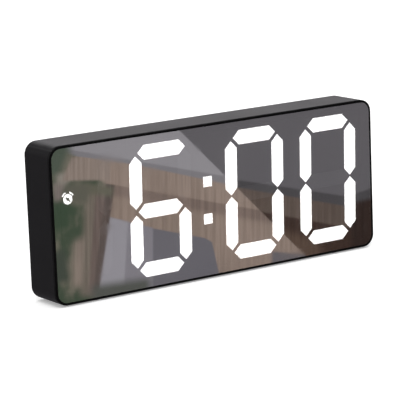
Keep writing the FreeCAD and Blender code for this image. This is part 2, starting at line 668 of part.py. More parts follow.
def make_reflector():
    body = new_body("reflector_body")
    pad(body, "reflector_block", [rectangle(REFLECTOR_WIDTH, REFLECTOR_HEIGHT)], BOARD_FRONT,
        "reflector_depth")
    strips = [rectangle(REFLECTOR_WIDTH, f"({REFLECTOR_HEIGHT} + 2 * flange_reach)")]
    pad(body, "reflector_strips", strips, f"({SHELF_BACK} + flange_thickness)", "flange_thickness")
    for node, (middle, letters) in FIGURES.items():
        seats = [segment_corners(middle, letter) for letter in letters]
        pocket(body, node + "_seats", seats, SHELF_FRONT, "insert_depth")
        wells = [segment_corners(middle, letter, "insert_ledge") for letter in letters]
        pocket(body, node + "_wells", wells, SHELF_FRONT, "reflector_depth + overrun")
    dots = [colon_corners(side) for side in (1, -1)]
    pocket(body, "colon_seats", dots, SHELF_FRONT, "insert_depth")
    wells = [colon_corners(side, "insert_ledge") for side in (1, -1)]
    pocket(body, "colon_wells", wells, SHELF_FRONT, "reflector_depth + overrun")
    well = [(SYMBOL_X, SYMBOL_Z, "(symbol_radius - insert_ledge)")]
    pocket(body, "symbol_well", well, SHELF_FRONT, "reflector_depth + overrun")
    notches = [(f"({side} * {BOSS_X})", f"({MIDDLE} + {level} * {BOSS_RISE})", "(boss_radius + boss_notch)")
               for side in (-1, 1) for level in (-1, 1)]
    pocket(body, "boss_notches", notches, SHELF_FRONT, "reflector_depth + overrun")
    pegs = [(f"({side} * {PEG_X})", f"({MIDDLE} + {level} * {PEG_Z})", "peg_radius")
            for side in (-1, 1) for level in (-1, 1)]
    pad(body, "pegs", pegs, f"({BOARD_BACK} + peg_proud)", "board_thickness + peg_proud")
    # Light for the bell caps comes through slots that reach a wider well behind the dial's web
    chamber = [(SYMBOL_X, SYMBOL_Z, "(bell_outer + insert_play)")]
    pocket(body, "symbol_chamber", chamber, BOARD_FRONT, "reflector_depth - insert_depth - insert_ledge",
           rearward=False)
    seat = (SHELF_FRONT, f"({SHELF_FRONT} + insert_depth)")
    slot = (SHELF_FRONT, f"({SHELF_FRONT} + insert_depth + insert_ledge)")
    tools = [rod("dial_seat", SYMBOL_X, SYMBOL_Z, seat, "symbol_radius + insert_play"),
             bell_cap("right_bell_seat", "bell_lean", slot, "insert_play"),
             bell_cap("left_bell_seat", "180 - bell_lean - bell_angle", slot, "insert_play")]
    name_node(cut("led_reflector", body, join("symbol_seats", tools)), "led_reflector")


# Case and mirror

def make_housing():
    body = new_body("housing_body")
    outline = Rounded(rectangle("case_width", "case_height"), "case_corner")
    pad(body, "block", [outline], REAR, CASE_DEPTH)
    round_rim(body, "front_edge", FRONT, "front_round")
    round_rim(body, "rear_edge", REAR, "rear_round")
    recess = Rounded(rectangle(LENS_WIDTH, LENS_HEIGHT), LENS_CORNER)
    pocket(body, "lens_recess", [recess], FRONT, f"({SHELF_FRONT}) - ({FRONT})")
    window = rectangle(WINDOW_WIDTH, WINDOW_HEIGHT)
    pocket(body, "window", [window], SHELF_FRONT, "shelf_thickness + overrun")
    cavity = Rounded(rectangle(CAVITY_WIDTH, CAVITY_HEIGHT), CAVITY_CORNER)
    pocket(body, "cavity", [cavity], REAR, f"({REAR}) - ({SHELF_BACK})", rearward=False)
    seat = rectangle(f"({CAVITY_WIDTH} + 2 * cover_seat)", f"({CAVITY_HEIGHT} + 2 * cover_seat)")
    seat = Rounded(seat, f"({CAVITY_CORNER} + cover_seat)")
    pocket(body, "cover_seat_cut", [seat], REAR, "cover_sunk + cover_thickness", rearward=False)
    bosses = [(f"({side} * {BOSS_X})", f"({MIDDLE} + {level} * {BOSS_RISE})", "boss_radius")
              for side in (-1, 1) for level in (-1, 1)]
    pad(body, "bosses", bosses, BOSS_END, f"({BOSS_END}) - ({SHELF_BACK})")
    bores = [(x, z, "screw_radius") for x, z, radius in bosses]
    pocket(body, "boss_bores", bores, BOSS_END, "screw_length", rearward=False)
    feet = []
    for side in (-1, 1):
        for row in (-1, 1):
            foot = doc.addObject("Part::Cylinder", "foot_recess")
            tie(foot, "Radius", "foot_radius")
            tie(foot, "Height", "foot_sunk + overrun")
            place(foot, f"{side} * {FOOT_X}", f"{row} * {FOOT_Y}", "foot_proud - overrun")
            feet.append(foot)
    name_node(cut("housing", body, join("foot_recesses", feet)), "housing")


def make_lens():
    body = new_body("mirror_lens")
    outline = rectangle(f"({LENS_WIDTH} - 2 * lens_play)", f"({LENS_HEIGHT} - 2 * lens_play)")
    pad(body, "panel", [Rounded(outline, f"({LENS_CORNER} - lens_play)")], LENS_BACK, "lens_thickness")
    name_node(body, "mirror_lens")
    tape = new_body("lens_tape")
    outer = rectangle(f"({LENS_WIDTH} - 2 * tape_inset)", f"({LENS_HEIGHT} - 2 * tape_inset)")
    inner = rectangle(f"({WINDOW_WIDTH} + 2 * tape_lip)", f"({WINDOW_HEIGHT} + 2 * tape_lip)")
    outer = Rounded(outer, f"({LENS_CORNER} - tape_inset)")
    pad(tape, "tape_frame", [outer, inner], SHELF_FRONT, "tape_thickness")
    name_node(tape, "lens_tape")


def make_feet():
    feet = []
    for side in (-1, 1):
        for row in (-1, 1):
            foot = doc.addObject("Part::Cylinder", "foot_pad")
            tie(foot, "Radius", "foot_radius")
            tie(foot, "Height", "foot_sunk")
            place(foot, f"{side} * {FOOT_X}", f"{row} * {FOOT_Y}", "foot_proud")
            toe = doc.addObject("Part::Cone", "foot_toe")
            tie(toe, "Radius1", "foot_radius - foot_edge")
            tie(toe, "Radius2", "foot_radius")
            tie(toe, "Height", "foot_proud")
            place(toe, f"{side} * {FOOT_X}", f"{row} * {FOOT_Y}", "0")
            feet.append(join("foot", [foot, toe]))
    name_node(group("feet", feet), "feet")


# Display board and what is soldered to it

def make_display_board():
    body = new_body("display_board")
    pad(body, "display_sheet", [rectangle(BOARD_WIDTH, BOARD_HEIGHT)], BOARD_BACK, "board_thickness")
    holes = [(f"({side} * {PEG_X})", f"({MIDDLE} + {level} * {PEG_Z})", "(peg_radius + hole_play)")
             for side in (-1, 1) for level in (-1, 1)]
    pocket(body, "peg_holes", holes, BOARD_FRONT, "board_thickness + overrun")
    name_node(body, "display_board")


def make_leds():
    """Two light-emitting chips under each segment and one under each dot and the symbol."""
    depth = (f"({BOARD_FRONT} - led_height)", BOARD_FRONT)
    spots = []
    for middle, letters in FIGURES.values():
        for letter in letters:
            column, row, direction = SEGMENT_PLACES[letter]
            reach = COLUMN if direction == "level" else ROW_STEP
            for side in (-1, 1):
                offset = f"{side} * led_place_share * {reach}"
                x = f"{column} * {COLUMN}" + (f" + {offset}" if direction == "level" else "")
                height = f"({row} * {ROW_STEP}" + (f" + {offset})" if direction == "upright" else ")")
                spots.append((f"({middle} + {x} + slant_share * {height})", f"({MIDDLE} + {height})"))
    for side in (1, -1):
        spots.append((f"({COLON_X} + slant_share * {side} * {COLON_RISE})",
                      f"({MIDDLE} + {side} * {COLON_RISE})"))
    spots.append((SYMBOL_X, SYMBOL_Z))
    chips = [box("led", (f"{x} - led_length / 2", f"{x} + led_length / 2"), depth,
                 (f"{z} - led_width / 2", f"{z} + led_width / 2")) for x, z in spots]
    name_node(group("segment_leds", chips), "segment_leds")


def make_driver_chip():
    low = f"({MIDDLE} - chip_drop - chip_length / 2)"
    body = box("chip_body", (f"{CHIP_X} - chip_width / 2", f"{CHIP_X} + chip_width / 2"),
               (BOARD_BACK, f"{BOARD_BACK} + chip_height"), (low, f"{low} + chip_length"))
    legs = []
    count = int(number_of("leg_rows"))
    for side in (-1, 1):
        for row in range(count):
            edge = f"({CHIP_X} + {side} * (chip_width / 2 + leg_reach / 2))"
            level = f"({MIDDLE} - chip_drop + ({row} - (leg_rows - 1) / 2) * leg_pitch)"
            legs.append(box("leg", (f"{edge} - leg_reach / 2", f"{edge} + leg_reach / 2"),
                            (BOARD_BACK, f"{BOARD_BACK} + leg_thickness"),
                            (f"{level} - leg_width / 2", f"{level} + leg_width / 2")))
    name_node(join("driver_chip", [body] + legs), "driver_chip")


def make_crystal():
    body = new_body("crystal")
    outline = rectangle("crystal_width", "crystal_length", CRYSTAL_X, f"({MIDDLE} - crystal_drop)")
    pad(body, "can", [outline], f"({BOARD_BACK} + crystal_height)", "crystal_height")
    round_corners(body, "can_ends", outline, "crystal_round_share * crystal_width")
    name_node(body, "crystal")


def spun(node, profile, x, z):
    """A piece turned round an axis along Y; the profile is radius and depth pairs."""
    body = new_body(node)
    sketch = sketch_at(body, node, [profile], "0", role="XY_Plane")
    feature = body.newObject("PartDesign::Revolution", node + "_turned")
    feature.Profile = sketch
    feature.ReferenceAxis = (sketch, ["V_Axis"])
    feature.Angle = 360
    place(body, x, "0", z)
    doc.recompute()
    return body


def make_buzzer():
    back = f"({BOARD_BACK} + buzzer_height)"
    profile = [("0", BOARD_BACK), ("buzzer_radius", BOARD_BACK),
               ("buzzer_radius", f"{back} - buzzer_round"), ("buzzer_radius - buzzer_round", back),
               ("buzzer_hole", back), ("buzzer_hole", f"{back} - buzzer_hole"),
               ("0", f"{back} - buzzer_hole")]
    name_node(spun("buzzer", profile, BUZZER_X, f"{MIDDLE} - buzzer_drop"), "buzzer")


def make_capacitor():
    back = f"({BOARD_BACK} + capacitor_height)"
    groove = f"({BOARD_BACK} + bead_place_share * capacitor_height)"
    profile = [("0", BOARD_BACK), ("capacitor_radius", BOARD_BACK),
               ("capacitor_radius", f"{groove} - capacitor_bead"),
               ("capacitor_radius - capacitor_bead", groove),
               ("capacitor_radius", f"{groove} + capacitor_bead"),
               ("capacitor_radius", f"{back} - capacitor_bead"),
               ("capacitor_radius - capacitor_bead", back), ("0", back)]
    name_node(spun("capacitor", profile, CAPACITOR_X, f"{MIDDLE} - capacitor_drop"), "capacitor")


# Control board, its switches and sockets

def make_control_board():
    body = new_body("control_board")
    sheet_outline = rectangle(f"({CONTROL_RIGHT} - {CONTROL_LEFT})", "control_height",
                              f"(({CONTROL_LEFT} + {CONTROL_RIGHT}) / 2)", ROW)
    pad(body, "control_sheet", [sheet_outline], CONTROL_BACK, "board_thickness")
    holes = [(x, ROW, "(board_screw_radius + screw_play)") for x in BOARD_POST_PLACES]
    pocket(body, "control_holes", holes, CONTROL_FRONT, "board_thickness + overrun")
    name_node(body, "control_board")


def make_header():
    level = f"({ROW} + control_height / 2 - header_drop)"
    first = f"({BUTTON_PLACES[1]} - (header_pins - 1) / 2 * header_pitch)"
    body = box("header_strip", (f"{first} - header_pitch / 2",
                                f"{first} + (header_pins - 0.5) * header_pitch"),
               (f"{CONTROL_FRONT} - header_body", CONTROL_FRONT),
               (f"{level} - header_body / 2", f"{level} + header_body / 2"))
    pins = []
    for index in range(int(number_of("header_pins"))):
        x = f"({first} + {index} * header_pitch)"
        pins.append(box("pin", (f"{x} - pin_width / 2", f"{x} + pin_width / 2"),
                        (BOARD_BACK, CONTROL_FRONT),
                        (f"{level} - pin_width / 2", f"{level} + pin_width / 2")))
    name_node(join("board_header", [body] + pins), "board_header")


def tact_outline(x):
    """A square with its corners cut off."""
    half = "(tact_width / 2)"
    flat = f"({half} - tact_edge)"
    ways = [(f"-{flat}", f"-{half}"), (flat, f"-{half}"), (half, f"-{flat}"), (half, flat),
            (flat, half), (f"-{flat}", half), (f"-{half}", flat), (f"-{half}", f"-{flat}")]
    return [(f"{x} + {right}", f"{ROW} + {up}") for right, up in ways]


def make_tact_switches():
    switches = []
    for index, x in enumerate(BUTTON_PLACES):
        body = new_body(f"tact_switch_{index + 1}")
        pad(body, f"tact_block_{index + 1}", [tact_outline(x)], TACT_TOP, "tact_height")
        well = [(x, ROW, "(plunger_radius + plunger_play)")]
        pocket(body, f"tact_well_{index + 1}", well, TACT_TOP, "plunger_well", rearward=False)
        switches.append(body)
    name_node(group("tact_switches", switches), "tact_switches")


def make_buttons():
    """Button caps with their keeping flanges, and the switch plungers that ride with them."""
    flange_back = f"({COVER_FRONT} - cap_flange_gap)"
    top = f"({COVER_BACK} + cap_proud)"
    profile = [("0", PLUNGER_TIP), ("cap_radius + cap_flange_reach", PLUNGER_TIP),
               ("cap_radius + cap_flange_reach", flange_back), ("cap_radius", flange_back),
               ("cap_radius", f"{top} - cap_dish"), ("cap_radius - cap_dish", top),
               ("cap_radius - 2 * cap_dish", top), ("0", f"{top} - cap_dish")]
    for word, x in zip(("set", "up", "down"), BUTTON_PLACES):
        name_node(spun("button_" + word, profile, x, ROW), "button_" + word)
        pin = rod("plunger_" + word, x, ROW, (f"{TACT_TOP} - plunger_depth", PLUNGER_TIP),
                  "plunger_radius")
        name_node(pin, "plunger_" + word)


def make_slide_switch():
    body = new_body("slide_switch")
    top = f"({CONTROL_BACK} + slide_height)"
    pad(body, "slide_block", [rectangle("slide_length", "slide_width", SLIDE_X, ROW)], top,
        "slide_height")
    well = rectangle("(slide_length - 2 * slide_wall)", "(slide_width - 2 * slide_wall)",
                     SLIDE_X, ROW)
    pocket(body, "slide_well", [well], top, "slide_height - slide_wall", rearward=False)
    name_node(body, "slide_switch")
    # At rest the knob stands half its travel to the left of the switch's middle
    x = f"({SLIDE_X} - slide_travel / 2)"
    foot = f"({top} - knob_foot)"
    base_length = "(knob_length + 2 * knob_base)"
    base = box("knob_base_plate", (f"{x} - {base_length} / 2", f"{x} + {base_length} / 2"),
               (foot, f"{foot} + knob_base"), (f"{ROW} - knob_width / 2", f"{ROW} + knob_width / 2"))
    stem = box("knob_stem", (f"{x} - knob_length / 2", f"{x} + knob_length / 2"),
               (foot, f"{REAR} - knob_short"), (f"{ROW} - knob_width / 2", f"{ROW} + knob_width / 2"))
    name_node(join("slide_knob", [base, stem]), "slide_knob")


def usb_outline(margin):
    """The mouth of the socket: a rectangle with its two lower corners slanted off."""
    half = f"(usb_width / 2 + {margin})"
    low, high = f"({ROW} - usb_height / 2 - {margin})", f"({ROW} + usb_height / 2 + {margin})"
    return [(f"{USB_X} - {half} + usb_cut", low), (f"{USB_X} + {half} - usb_cut", low),
            (f"{USB_X} + {half}", f"{low} + usb_cut"), (f"{USB_X} + {half}", high),
            (f"{USB_X} - {half}", high), (f"{USB_X} - {half}", f"{low} + usb_cut")]


def make_usb_socket():
    mouth = f"({COVER_BACK} - usb_short)"
    body = new_body("usb_socket")
    pad(body, "usb_shell", [usb_outline("0")], mouth, f"({mouth}) - ({CONTROL_BACK})")
    pocket(body, "usb_hollow", [usb_outline("(-usb_wall)")], mouth,
           f"({mouth}) - ({CONTROL_BACK}) - usb_wall", rearward=False)
    name_node(body, "usb_socket")
    level = f"({ROW} + usb_tongue_rise)"
    tongue = box("usb_insert", (f"{USB_X} - usb_tongue_width / 2", f"{USB_X} + usb_tongue_width / 2"),
                 (f"{CONTROL_BACK} + usb_wall", f"{mouth} - usb_tongue_short"),
                 (f"{level} - usb_tongue_thickness / 2", f"{level} + usb_tongue_thickness / 2"))
    name_node(tongue, "usb_insert")


# Rear cover, door and batteries

def make_rear_cover():
    body = new_body("rear_cover")
    plate = rectangle(f"({CAVITY_WIDTH} + 2 * cover_seat - 2 * cover_play)",
                      f"({CAVITY_HEIGHT} + 2 * cover_seat - 2 * cover_play)")
    plate = Rounded(plate, f"({CAVITY_CORNER} + cover_seat - cover_play)")
    pad(body, "cover_plate", [plate], COVER_BACK, "cover_thickness")
    outside = rectangle(f"({BAY_LENGTH} + 2 * bay_wall)", f"({BAY_HEIGHT} + 2 * bay_wall)", "0",
                        BAY_MIDDLE)
    pad(body, "bay_block", [outside], COVER_FRONT, f"({COVER_FRONT}) - ({BAY_BACK}) + bay_floor")
    inside = rectangle(BAY_LENGTH, BAY_HEIGHT, "0", BAY_MIDDLE)
    pocket(body, "bay_hollow", [inside], COVER_BACK, f"({COVER_BACK}) - ({BAY_BACK})", rearward=False)
    mouth = rectangle(f"({DOOR_WIDTH} + 2 * door_play)", f"({DOOR_HIGH} - {DOOR_LOW} + 2 * door_play)",
                      "0", BAY_MIDDLE)
    pocket(body, "bay_mouth", [mouth], COVER_BACK, "cover_thickness", rearward=False)
    ribs = [rectangle("(cell_length - 2 * rib_inset)", "bay_floor", "0",
                      f"({BAY_LOW} + {step} * {CELL_PITCH})") for step in (1, 2)]
    pad(body, "cell_ribs", ribs, f"({BAY_BACK} + rib_height)", "rib_height")
    slots = [rectangle("(hook_width + 2 * door_play)", "(bay_wall + 2 * overrun)",
                       f"({side} * hook_distance)", f"({BAY_LOW} - bay_wall / 2)") for side in (-1, 1)]
    pocket(body, "hook_slots", slots, COVER_FRONT, "slot_depth", rearward=False)
    tabs = []
    for side, index in ((-1, 0), (1, 2)):
        tabs.append(rectangle("(bay_wall + 2 * overrun)", "(tab_width + 2 * hole_play)",
                              f"({side} * ({BAY_END} + bay_wall / 2))", cell_level(index)))
    tab_depth = f"({COVER_FRONT}) - ({LEAD_Y}) + plate_thickness / 2 + hole_play"
    pocket(body, "tab_slots", tabs, COVER_FRONT, tab_depth, rearward=False)
    # The seats stay inside the case wall, which the bosses bite into
    screws = [(f"({side} * {BOSS_X})", f"({MIDDLE} + {level} * {BOSS_RISE})",
               "(boss_radius - boss_bite - cover_play)") for side in (-1, 1) for level in (-1, 1)]
    pad(body, "screw_seats", screws, f"({COVER_FRONT} + cover_thickness / 2)",
        "boss_short + cover_thickness / 2")
    sinks = [(x, z, "(screw_head_radius + screw_play)") for x, z, radius in screws]
    pocket(body, "screw_sinks", sinks, COVER_BACK, "screw_sink", rearward=False)
    holes = [(x, z, "(screw_radius + screw_play)") for x, z, radius in screws]
    pocket(body, "screw_holes", holes, COVER_BACK, "cover_thickness + boss_short + overrun",
           rearward=False)
    posts = [(f"({side} * {POST_X})", f"({MIDDLE} + {level} * {POST_RISE})", "post_radius")
             for side in (-1, 1) for level in (-1, 1)]
    pad(body, "clamp_posts", posts, COVER_FRONT, f"({COVER_FRONT}) - ({BOARD_BACK})")
    carriers = [(x, ROW, "board_post_radius") for x in BOARD_POST_PLACES]
    pad(body, "board_posts", carriers, COVER_FRONT, f"({COVER_FRONT}) - ({CONTROL_BACK})")
    bores = [(x, ROW, "board_screw_radius") for x in BOARD_POST_PLACES]
    pocket(body, "post_bores", bores, CONTROL_BACK, "board_screw_length")
    through = "cover_thickness + overrun"
    caps = [(x, ROW, "(cap_radius + cap_play)") for x in BUTTON_PLACES]
    pocket(body, "button_holes", caps, COVER_BACK, through, rearward=False)
    slide = rectangle("(knob_length + slide_travel + 2 * knob_play)", "(knob_width + 2 * knob_play)",
                      SLIDE_X, ROW)
    pocket(body, "slide_slot", [slide], COVER_BACK, through, rearward=False)
    pocket(body, "usb_hole", [usb_outline("usb_play")], COVER_BACK, through, rearward=False)
    sound_z = f"({MIDDLE} - buzzer_drop)"
    sound = [(BUZZER_X, sound_z, "sound_radius")]
    for step in range(SOUND_HOLES):
        turn = step * 2 * math.pi / SOUND_HOLES
        right, up = math.cos(turn), math.sin(turn)
        sound.append((f"({BUZZER_X} + {right:.6f} * sound_ring)",
                      f"({sound_z} + {up:.6f} * sound_ring)", "sound_radius"))
    pocket(body, "sound_holes", sound, COVER_BACK, through, rearward=False)
    notch = [("0", f"({DOOR_HIGH} + door_play + notch_rise)", "notch_radius")]
    pocket(body, "finger_notch", notch, COVER_BACK, "notch_depth", rearward=False)
    name_node(body, "rear_cover")


def make_battery_door():
    height = f"({DOOR_HIGH} - {DOOR_LOW})"
    body = new_body("battery_door")
    plate = Rounded(rectangle(DOOR_WIDTH, height, "0", BAY_MIDDLE), "(door_ledge / 2)")
    pad(body, "door_plate", [plate], COVER_BACK, "door_thickness")
    stem_z = f"({DOOR_LOW} + hook_root / 2)"
    stems = [rectangle("hook_width", "hook_root", f"({side} * hook_distance)", stem_z) for side in (-1, 1)]
    hook_back = f"({COVER_FRONT} - hook_clear)"
    pad(body, "hook_stems", stems, DOOR_FRONT, f"({DOOR_FRONT}) - ({hook_back}) + hook_thickness")
    hooks = [rectangle("hook_width", "(hook_root + hook_drop)", f"({side} * hook_distance)",
                       f"({DOOR_LOW} + (hook_root - hook_drop) / 2)") for side in (-1, 1)]
    pad(body, "hooks", hooks, hook_back, "hook_thickness")
    slits = [rectangle("latch_slit", "(latch_drop + overrun)",
                       f"({side} * (latch_width + latch_slit) / 2)",
                       f"({DOOR_HIGH} - (latch_drop - overrun) / 2)") for side in (-1, 1)]
    pocket(body, "latch_slits", slits, COVER_BACK, "door_thickness + overrun", rearward=False)
    grips = [rectangle("grip_length", "grip_width", "0",
                       f"({DOOR_HIGH} - latch_drop - ({step} + 1) * grip_pitch)")
             for step in range(GRIP_LINES)]
    pocket(body, "grip_lines", grips, COVER_BACK, "grip_depth", rearward=False)
    name_node(body, "battery_door")


def cell_level(index):
    """The height of one cell's axis, counted from the lowest cell."""
    return f"({BAY_LOW} + ({index} + 1 / 2) * {CELL_PITCH})"


def make_batteries():
    """Three cells; each positive end points the other way from its neighbour's."""
    profile = [("0", "0"), ("cell_radius - cell_edge", "0"), ("cell_radius", "cell_edge"),
               ("cell_radius", "cell_length - cell_edge"), ("cell_radius - cell_edge", "cell_length"),
               ("nub_radius", "cell_length"), ("nub_radius", "cell_length + nub_height"),
               ("0", "cell_length + nub_height")]
    for index in range(CELLS):
        side = 1 if index == 1 else -1
        body = new_body(f"battery_{index + 1}")
        sketch = sketch_at(body, f"battery_{index + 1}", [profile], "0", role="XY_Plane")
        feature = body.newObject("PartDesign::Revolution", f"battery_{index + 1}_turned")
        feature.Profile = sketch
        feature.ReferenceAxis = (sketch, ["V_Axis"])
        feature.Angle = 360
        # The turned piece runs along +Y; it is laid along X with the nub towards its contact
        body.Placement = Placement(Vector(), Rotation(Vector(0, 0, 1), -90 * side))
        place(body, f"{-side} * ({BAY_END} - plate_thickness - spring_length)", CELL_Y,
              cell_level(index))
        name_node(body, f"battery_{index + 1}")


def contact(name, side, lowest, highest, dimples, tab):
    """A contact plate on one end wall, from the lowest to the highest cell that it serves."""
    wall = f"({side} * ({BAY_END}))"
    face = f"({side} * ({BAY_END} - plate_thickness))"
    x = (wall, face) if side < 0 else (face, wall)
    parts = [box(name + "_plate", x, (f"{CELL_Y} - plate_width / 2", f"{CELL_Y} + plate_width / 2"),
                 (f"{cell_level(lowest)} - plate_width / 2", f"{cell_level(highest)} + plate_width / 2"))]
    for index in dimples:
        dimple = doc.addObject("Part::Cone", name + "_dimple")
        dimple.Placement = Placement(Vector(), Rotation(Vector(0, 1, 0), -90 * side))
        tie(dimple, "Radius1", "dimple_radius")
        tie(dimple, "Radius2", "dimple_radius / 2")
        tie(dimple, "Height", "dimple_height")
        place(dimple, face, CELL_Y, cell_level(index))
        parts.append(dimple)
    if tab is not None:
        end = f"({side} * ({BAY_END} + bay_wall + tab_length))"
        x = (end, face) if side < 0 else (face, end)
        parts.append(box(name + "_tab", x,
                         (f"{LEAD_Y} - plate_thickness / 2", f"{LEAD_Y} + plate_thickness / 2"),
                         (f"{cell_level(tab)} - tab_width / 2", f"{cell_level(tab)} + tab_width / 2")))
    name_node(join(name, parts), name)


def make_contacts():
    contact("contact_positive", -1, 0, 0, [0], 0)
    contact("contact_bridge_right", 1, 0, 1, [1], None)
    contact("contact_bridge_left", -1, 1, 2, [2], None)
    contact("contact_negative", 1, 2, 2, [], 2)


def coil_points():
    """Points and directions of a conical coil along +X, from its wide base to its narrow tip."""
    length = number_of("spring_length - 2 * wire_radius")
    base, tip = number_of("spring_base"), number_of("spring_tip")
    count = SPRING_TURNS * ARCS_PER_TURN
    sweep = SPRING_TURNS * 2 * math.pi
    points = []
    directions = []
    for step in range(count + 1):
        along = step / count
        angle = 2 * math.pi * step / ARCS_PER_TURN
        radius = base + (tip - base) * along
        turned = Vector(0, math.cos(angle), math.sin(angle))
        around = Vector(0, -math.sin(angle), math.cos(angle))
        points.append(Vector(length * along, 0, 0) + turned * radius)
        direction = around * radius + turned * ((tip - base) / sweep) + Vector(length / sweep, 0, 0)
        directions.append(direction.normalize())
    return points, directions


def biarc(start, start_way, end, end_way):
    """Two arcs that leave start and reach end in the given directions."""
    chord = end - start
    total = start_way + end_way
    square = 2 * (1 - start_way.dot(end_way))
    across = chord.dot(total)
    reach = (math.sqrt(across * across + square * chord.dot(chord)) - across) / square
    meeting = (start + start_way * reach + end - end_way * reach) * 0.5
    return [arc_from(start, start_way, meeting), arc_from(end, end_way * -1, meeting).reversed()]


def arc_from(start, way, end):
    """The arc that leaves start in a direction and reaches end."""
    chord = end - start
    normal = way.cross(chord).normalize()
    inward = normal.cross(way)
    radius = chord.dot(chord) / (2 * chord.dot(inward))
    centre = start + inward * radius
    middle_way = (chord * 0.5 + start - centre).normalize()
    return Part.Arc(start, centre + middle_way * radius, end).toShape()


def wire_section(centre, way):
    """The spring wire's section, with a few flats round it."""
    first = way.cross(Vector(1, 0, 0)).normalize()
    second = way.cross(first)
    radius = number_of("wire_radius")
    turns = [2 * math.pi * flat / WIRE_FLATS for flat in range(WIRE_FLATS + 1)]
    return Part.makePolygon([centre + (first * math.cos(turn) + second * math.sin(turn)) * radius
                             for turn in turns])


def make_springs():
    """One conical coil at the negative end of each cell, wide end on the contact plate."""
    points, directions = coil_points()
    edges = []
    for index in range(len(points) - 1):
        edges += biarc(points[index], directions[index], points[index + 1], directions[index + 1])
    path = Part.Wire(edges)
    coil = path.makePipeShell([wire_section(points[0], directions[0])], True, False)
    report_coil_gap(path)
    coils = []
    for index in range(CELLS):
        side = -1 if index == 1 else 1
        spring = doc.addObject("Part::Feature", f"battery_spring_{index + 1}")
        spring.Shape = coil
        spring.Placement = Placement(Vector(), Rotation(Vector(0, 0, 1), 180 if side > 0 else 0))
        place(spring, f"{side} * ({BAY_END} - plate_thickness - wire_radius)", CELL_Y, cell_level(index))
        coils.append(spring)
    name_node(group("battery_springs", coils), "battery_springs")


def report_coil_gap(path):
    """Measures the least gap between the coil's own turns on points along it."""
    samples = path.discretize(Number=SPRING_TURNS * SAMPLES_PER_TURN + 1)
    least = min(first.distanceToPoint(second)
                for index, first in enumerate(samples)
                for second in samples[index + SAMPLES_APART:])
    print(f"battery spring: least gap to itself {least - 2 * number_of('wire_radius'):.2f} mm")


def make_lead(node, side, tab):
    """A battery lead from its contact's tab, up beside the bay, to the control board."""
    x = number_of(f"({side} * ({BAY_END} + bay_wall + tab_length + lead_radius))")
    y = number_of(LEAD_Y)
    low = number_of(cell_level(tab))
    high = number_of(f"{ROW} - control_height / 2 + lead_end")
    swing = side * number_of("lead_swing")
    # It leaves the tab upright, swings out in the middle and ends upright on the board
    third = (high - low) / 3
    points = [Vector(x, y, low), Vector(x, y, low + third), Vector(x + swing, y, high - third),
              Vector(x + swing, y, high)]
    path = rounded_path(points, number_of("lead_bend"))
    ring = Part.Circle(points[0], Vector(0, 0, 1), number_of("lead_radius"))
    tube = path.makePipeShell([Part.Wire(ring.toShape())], True, False)
    expected = math.pi * number_of("lead_radius") ** 2 * path.Length
    print(f"{node}: length {path.Length:.1f} mm, volume over section times length "
          f"{tube.Volume / expected:.4f}")
    lead = doc.addObject("Part::Feature", node)
    lead.Shape = tube
    name_node(lead, node)


def rounded_path(points, bend):
    """Straight runs joined by tangent arcs, as large as the bend or half the shorter run."""
    edges = []
    last = points[0]
    for index in range(1, len(points) - 1):
        corner = points[index]
        before, after = corner - points[index - 1], points[index + 1] - corner
        come, leave = Vector(before).normalize(), Vector(after).normalize()
        turn = come.getAngle(leave)
        setback = min(bend * math.tan(turn / 2), BEND_SHARE * min(before.Length, after.Length))
        enter, exit_point = corner - come * setback, corner + leave * setback
        radius = setback / math.tan(turn / 2)
        inward = (leave - come).normalize()
        middle = corner + inward * (radius / math.cos(turn / 2) - radius)
        edges.append(Part.LineSegment(last, enter).toShape())
        edges.append(Part.Arc(enter, middle, exit_point).toShape())
        last = exit_point
    edges.append(Part.LineSegment(last, points[-1]).toShape())
    return Part.Wire(edges)


def screw(name, x, z, head_place, way, shank, head):
    """A screw along Y: its head starts at one place and its shank runs the given way."""
    shank_radius, shank_length = shank
    head_radius, head_height = head
    if way < 0:
        ends = (f"{head_place} - {shank_length}", head_place)
        top = (head_place, f"{head_place} + {head_height}")
    else:
        ends = (head_place, f"{head_place} + {shank_length}")
        top = (f"{head_place} - {head_height}", head_place)
    return join(name, [rod(name + "_shank", x, z, ends, shank_radius),
                       rod(name + "_head", x, z, top, head_radius)])


def make_screws():
    seat = f"({COVER_BACK} - screw_sink)"
    rear = [screw("case_screw", f"({side} * {BOSS_X})", f"({MIDDLE} + {level} * {BOSS_RISE})", seat, -1,
                  ("screw_radius", "screw_length"), ("screw_head_radius", "screw_head_height"))
            for side in (-1, 1) for level in (-1, 1)]
    name_node(group("case_screws", rear), "case_screws")
    inner = [screw("board_screw", x, ROW, CONTROL_FRONT, 1,
                   ("board_screw_radius", "board_screw_length"),
                   ("board_head_radius", "board_head_height"))
             for x in BOARD_POST_PLACES]
    name_node(group("board_screws", inner), "board_screws")


def write_parts():
    """Checks every object and every sub-part, then writes one file per sub-part."""
    doc.recompute()
    for thing in doc.Objects:
        if "Invalid" in thing.State or "Error" in thing.State:
            raise ValueError(f"{thing.Name} is {thing.State}")
    for node, thing in nodes.items():
        if thing.Shape.isNull() or not thing.Shape.isValid():
            raise ValueError(node + " has no valid shape")
    os.makedirs("parts", exist_ok=True)
    for node, thing in nodes.items():
        thing.Shape.exportStep(f"parts/{node}.step")


fill_sheet()
make_housing()
make_lens()
make_reflector()
make_inserts()
make_feet()
make_display_board()
make_leds()
make_driver_chip()
make_crystal()
make_buzzer()
make_capacitor()
make_control_board()
make_header()
make_tact_switches()
make_buttons()
make_slide_switch()
make_usb_socket()
make_rear_cover()
make_battery_door()
make_batteries()
make_contacts()
make_springs()
make_lead("lead_red", -1, 0)
make_lead("lead_black", 1, 2)
make_screws()
write_parts()
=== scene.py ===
import math

import bmesh
import bpy
from bpy.props import FloatProperty, FloatVectorProperty, PointerProperty
from mathutils import Matrix, Vector


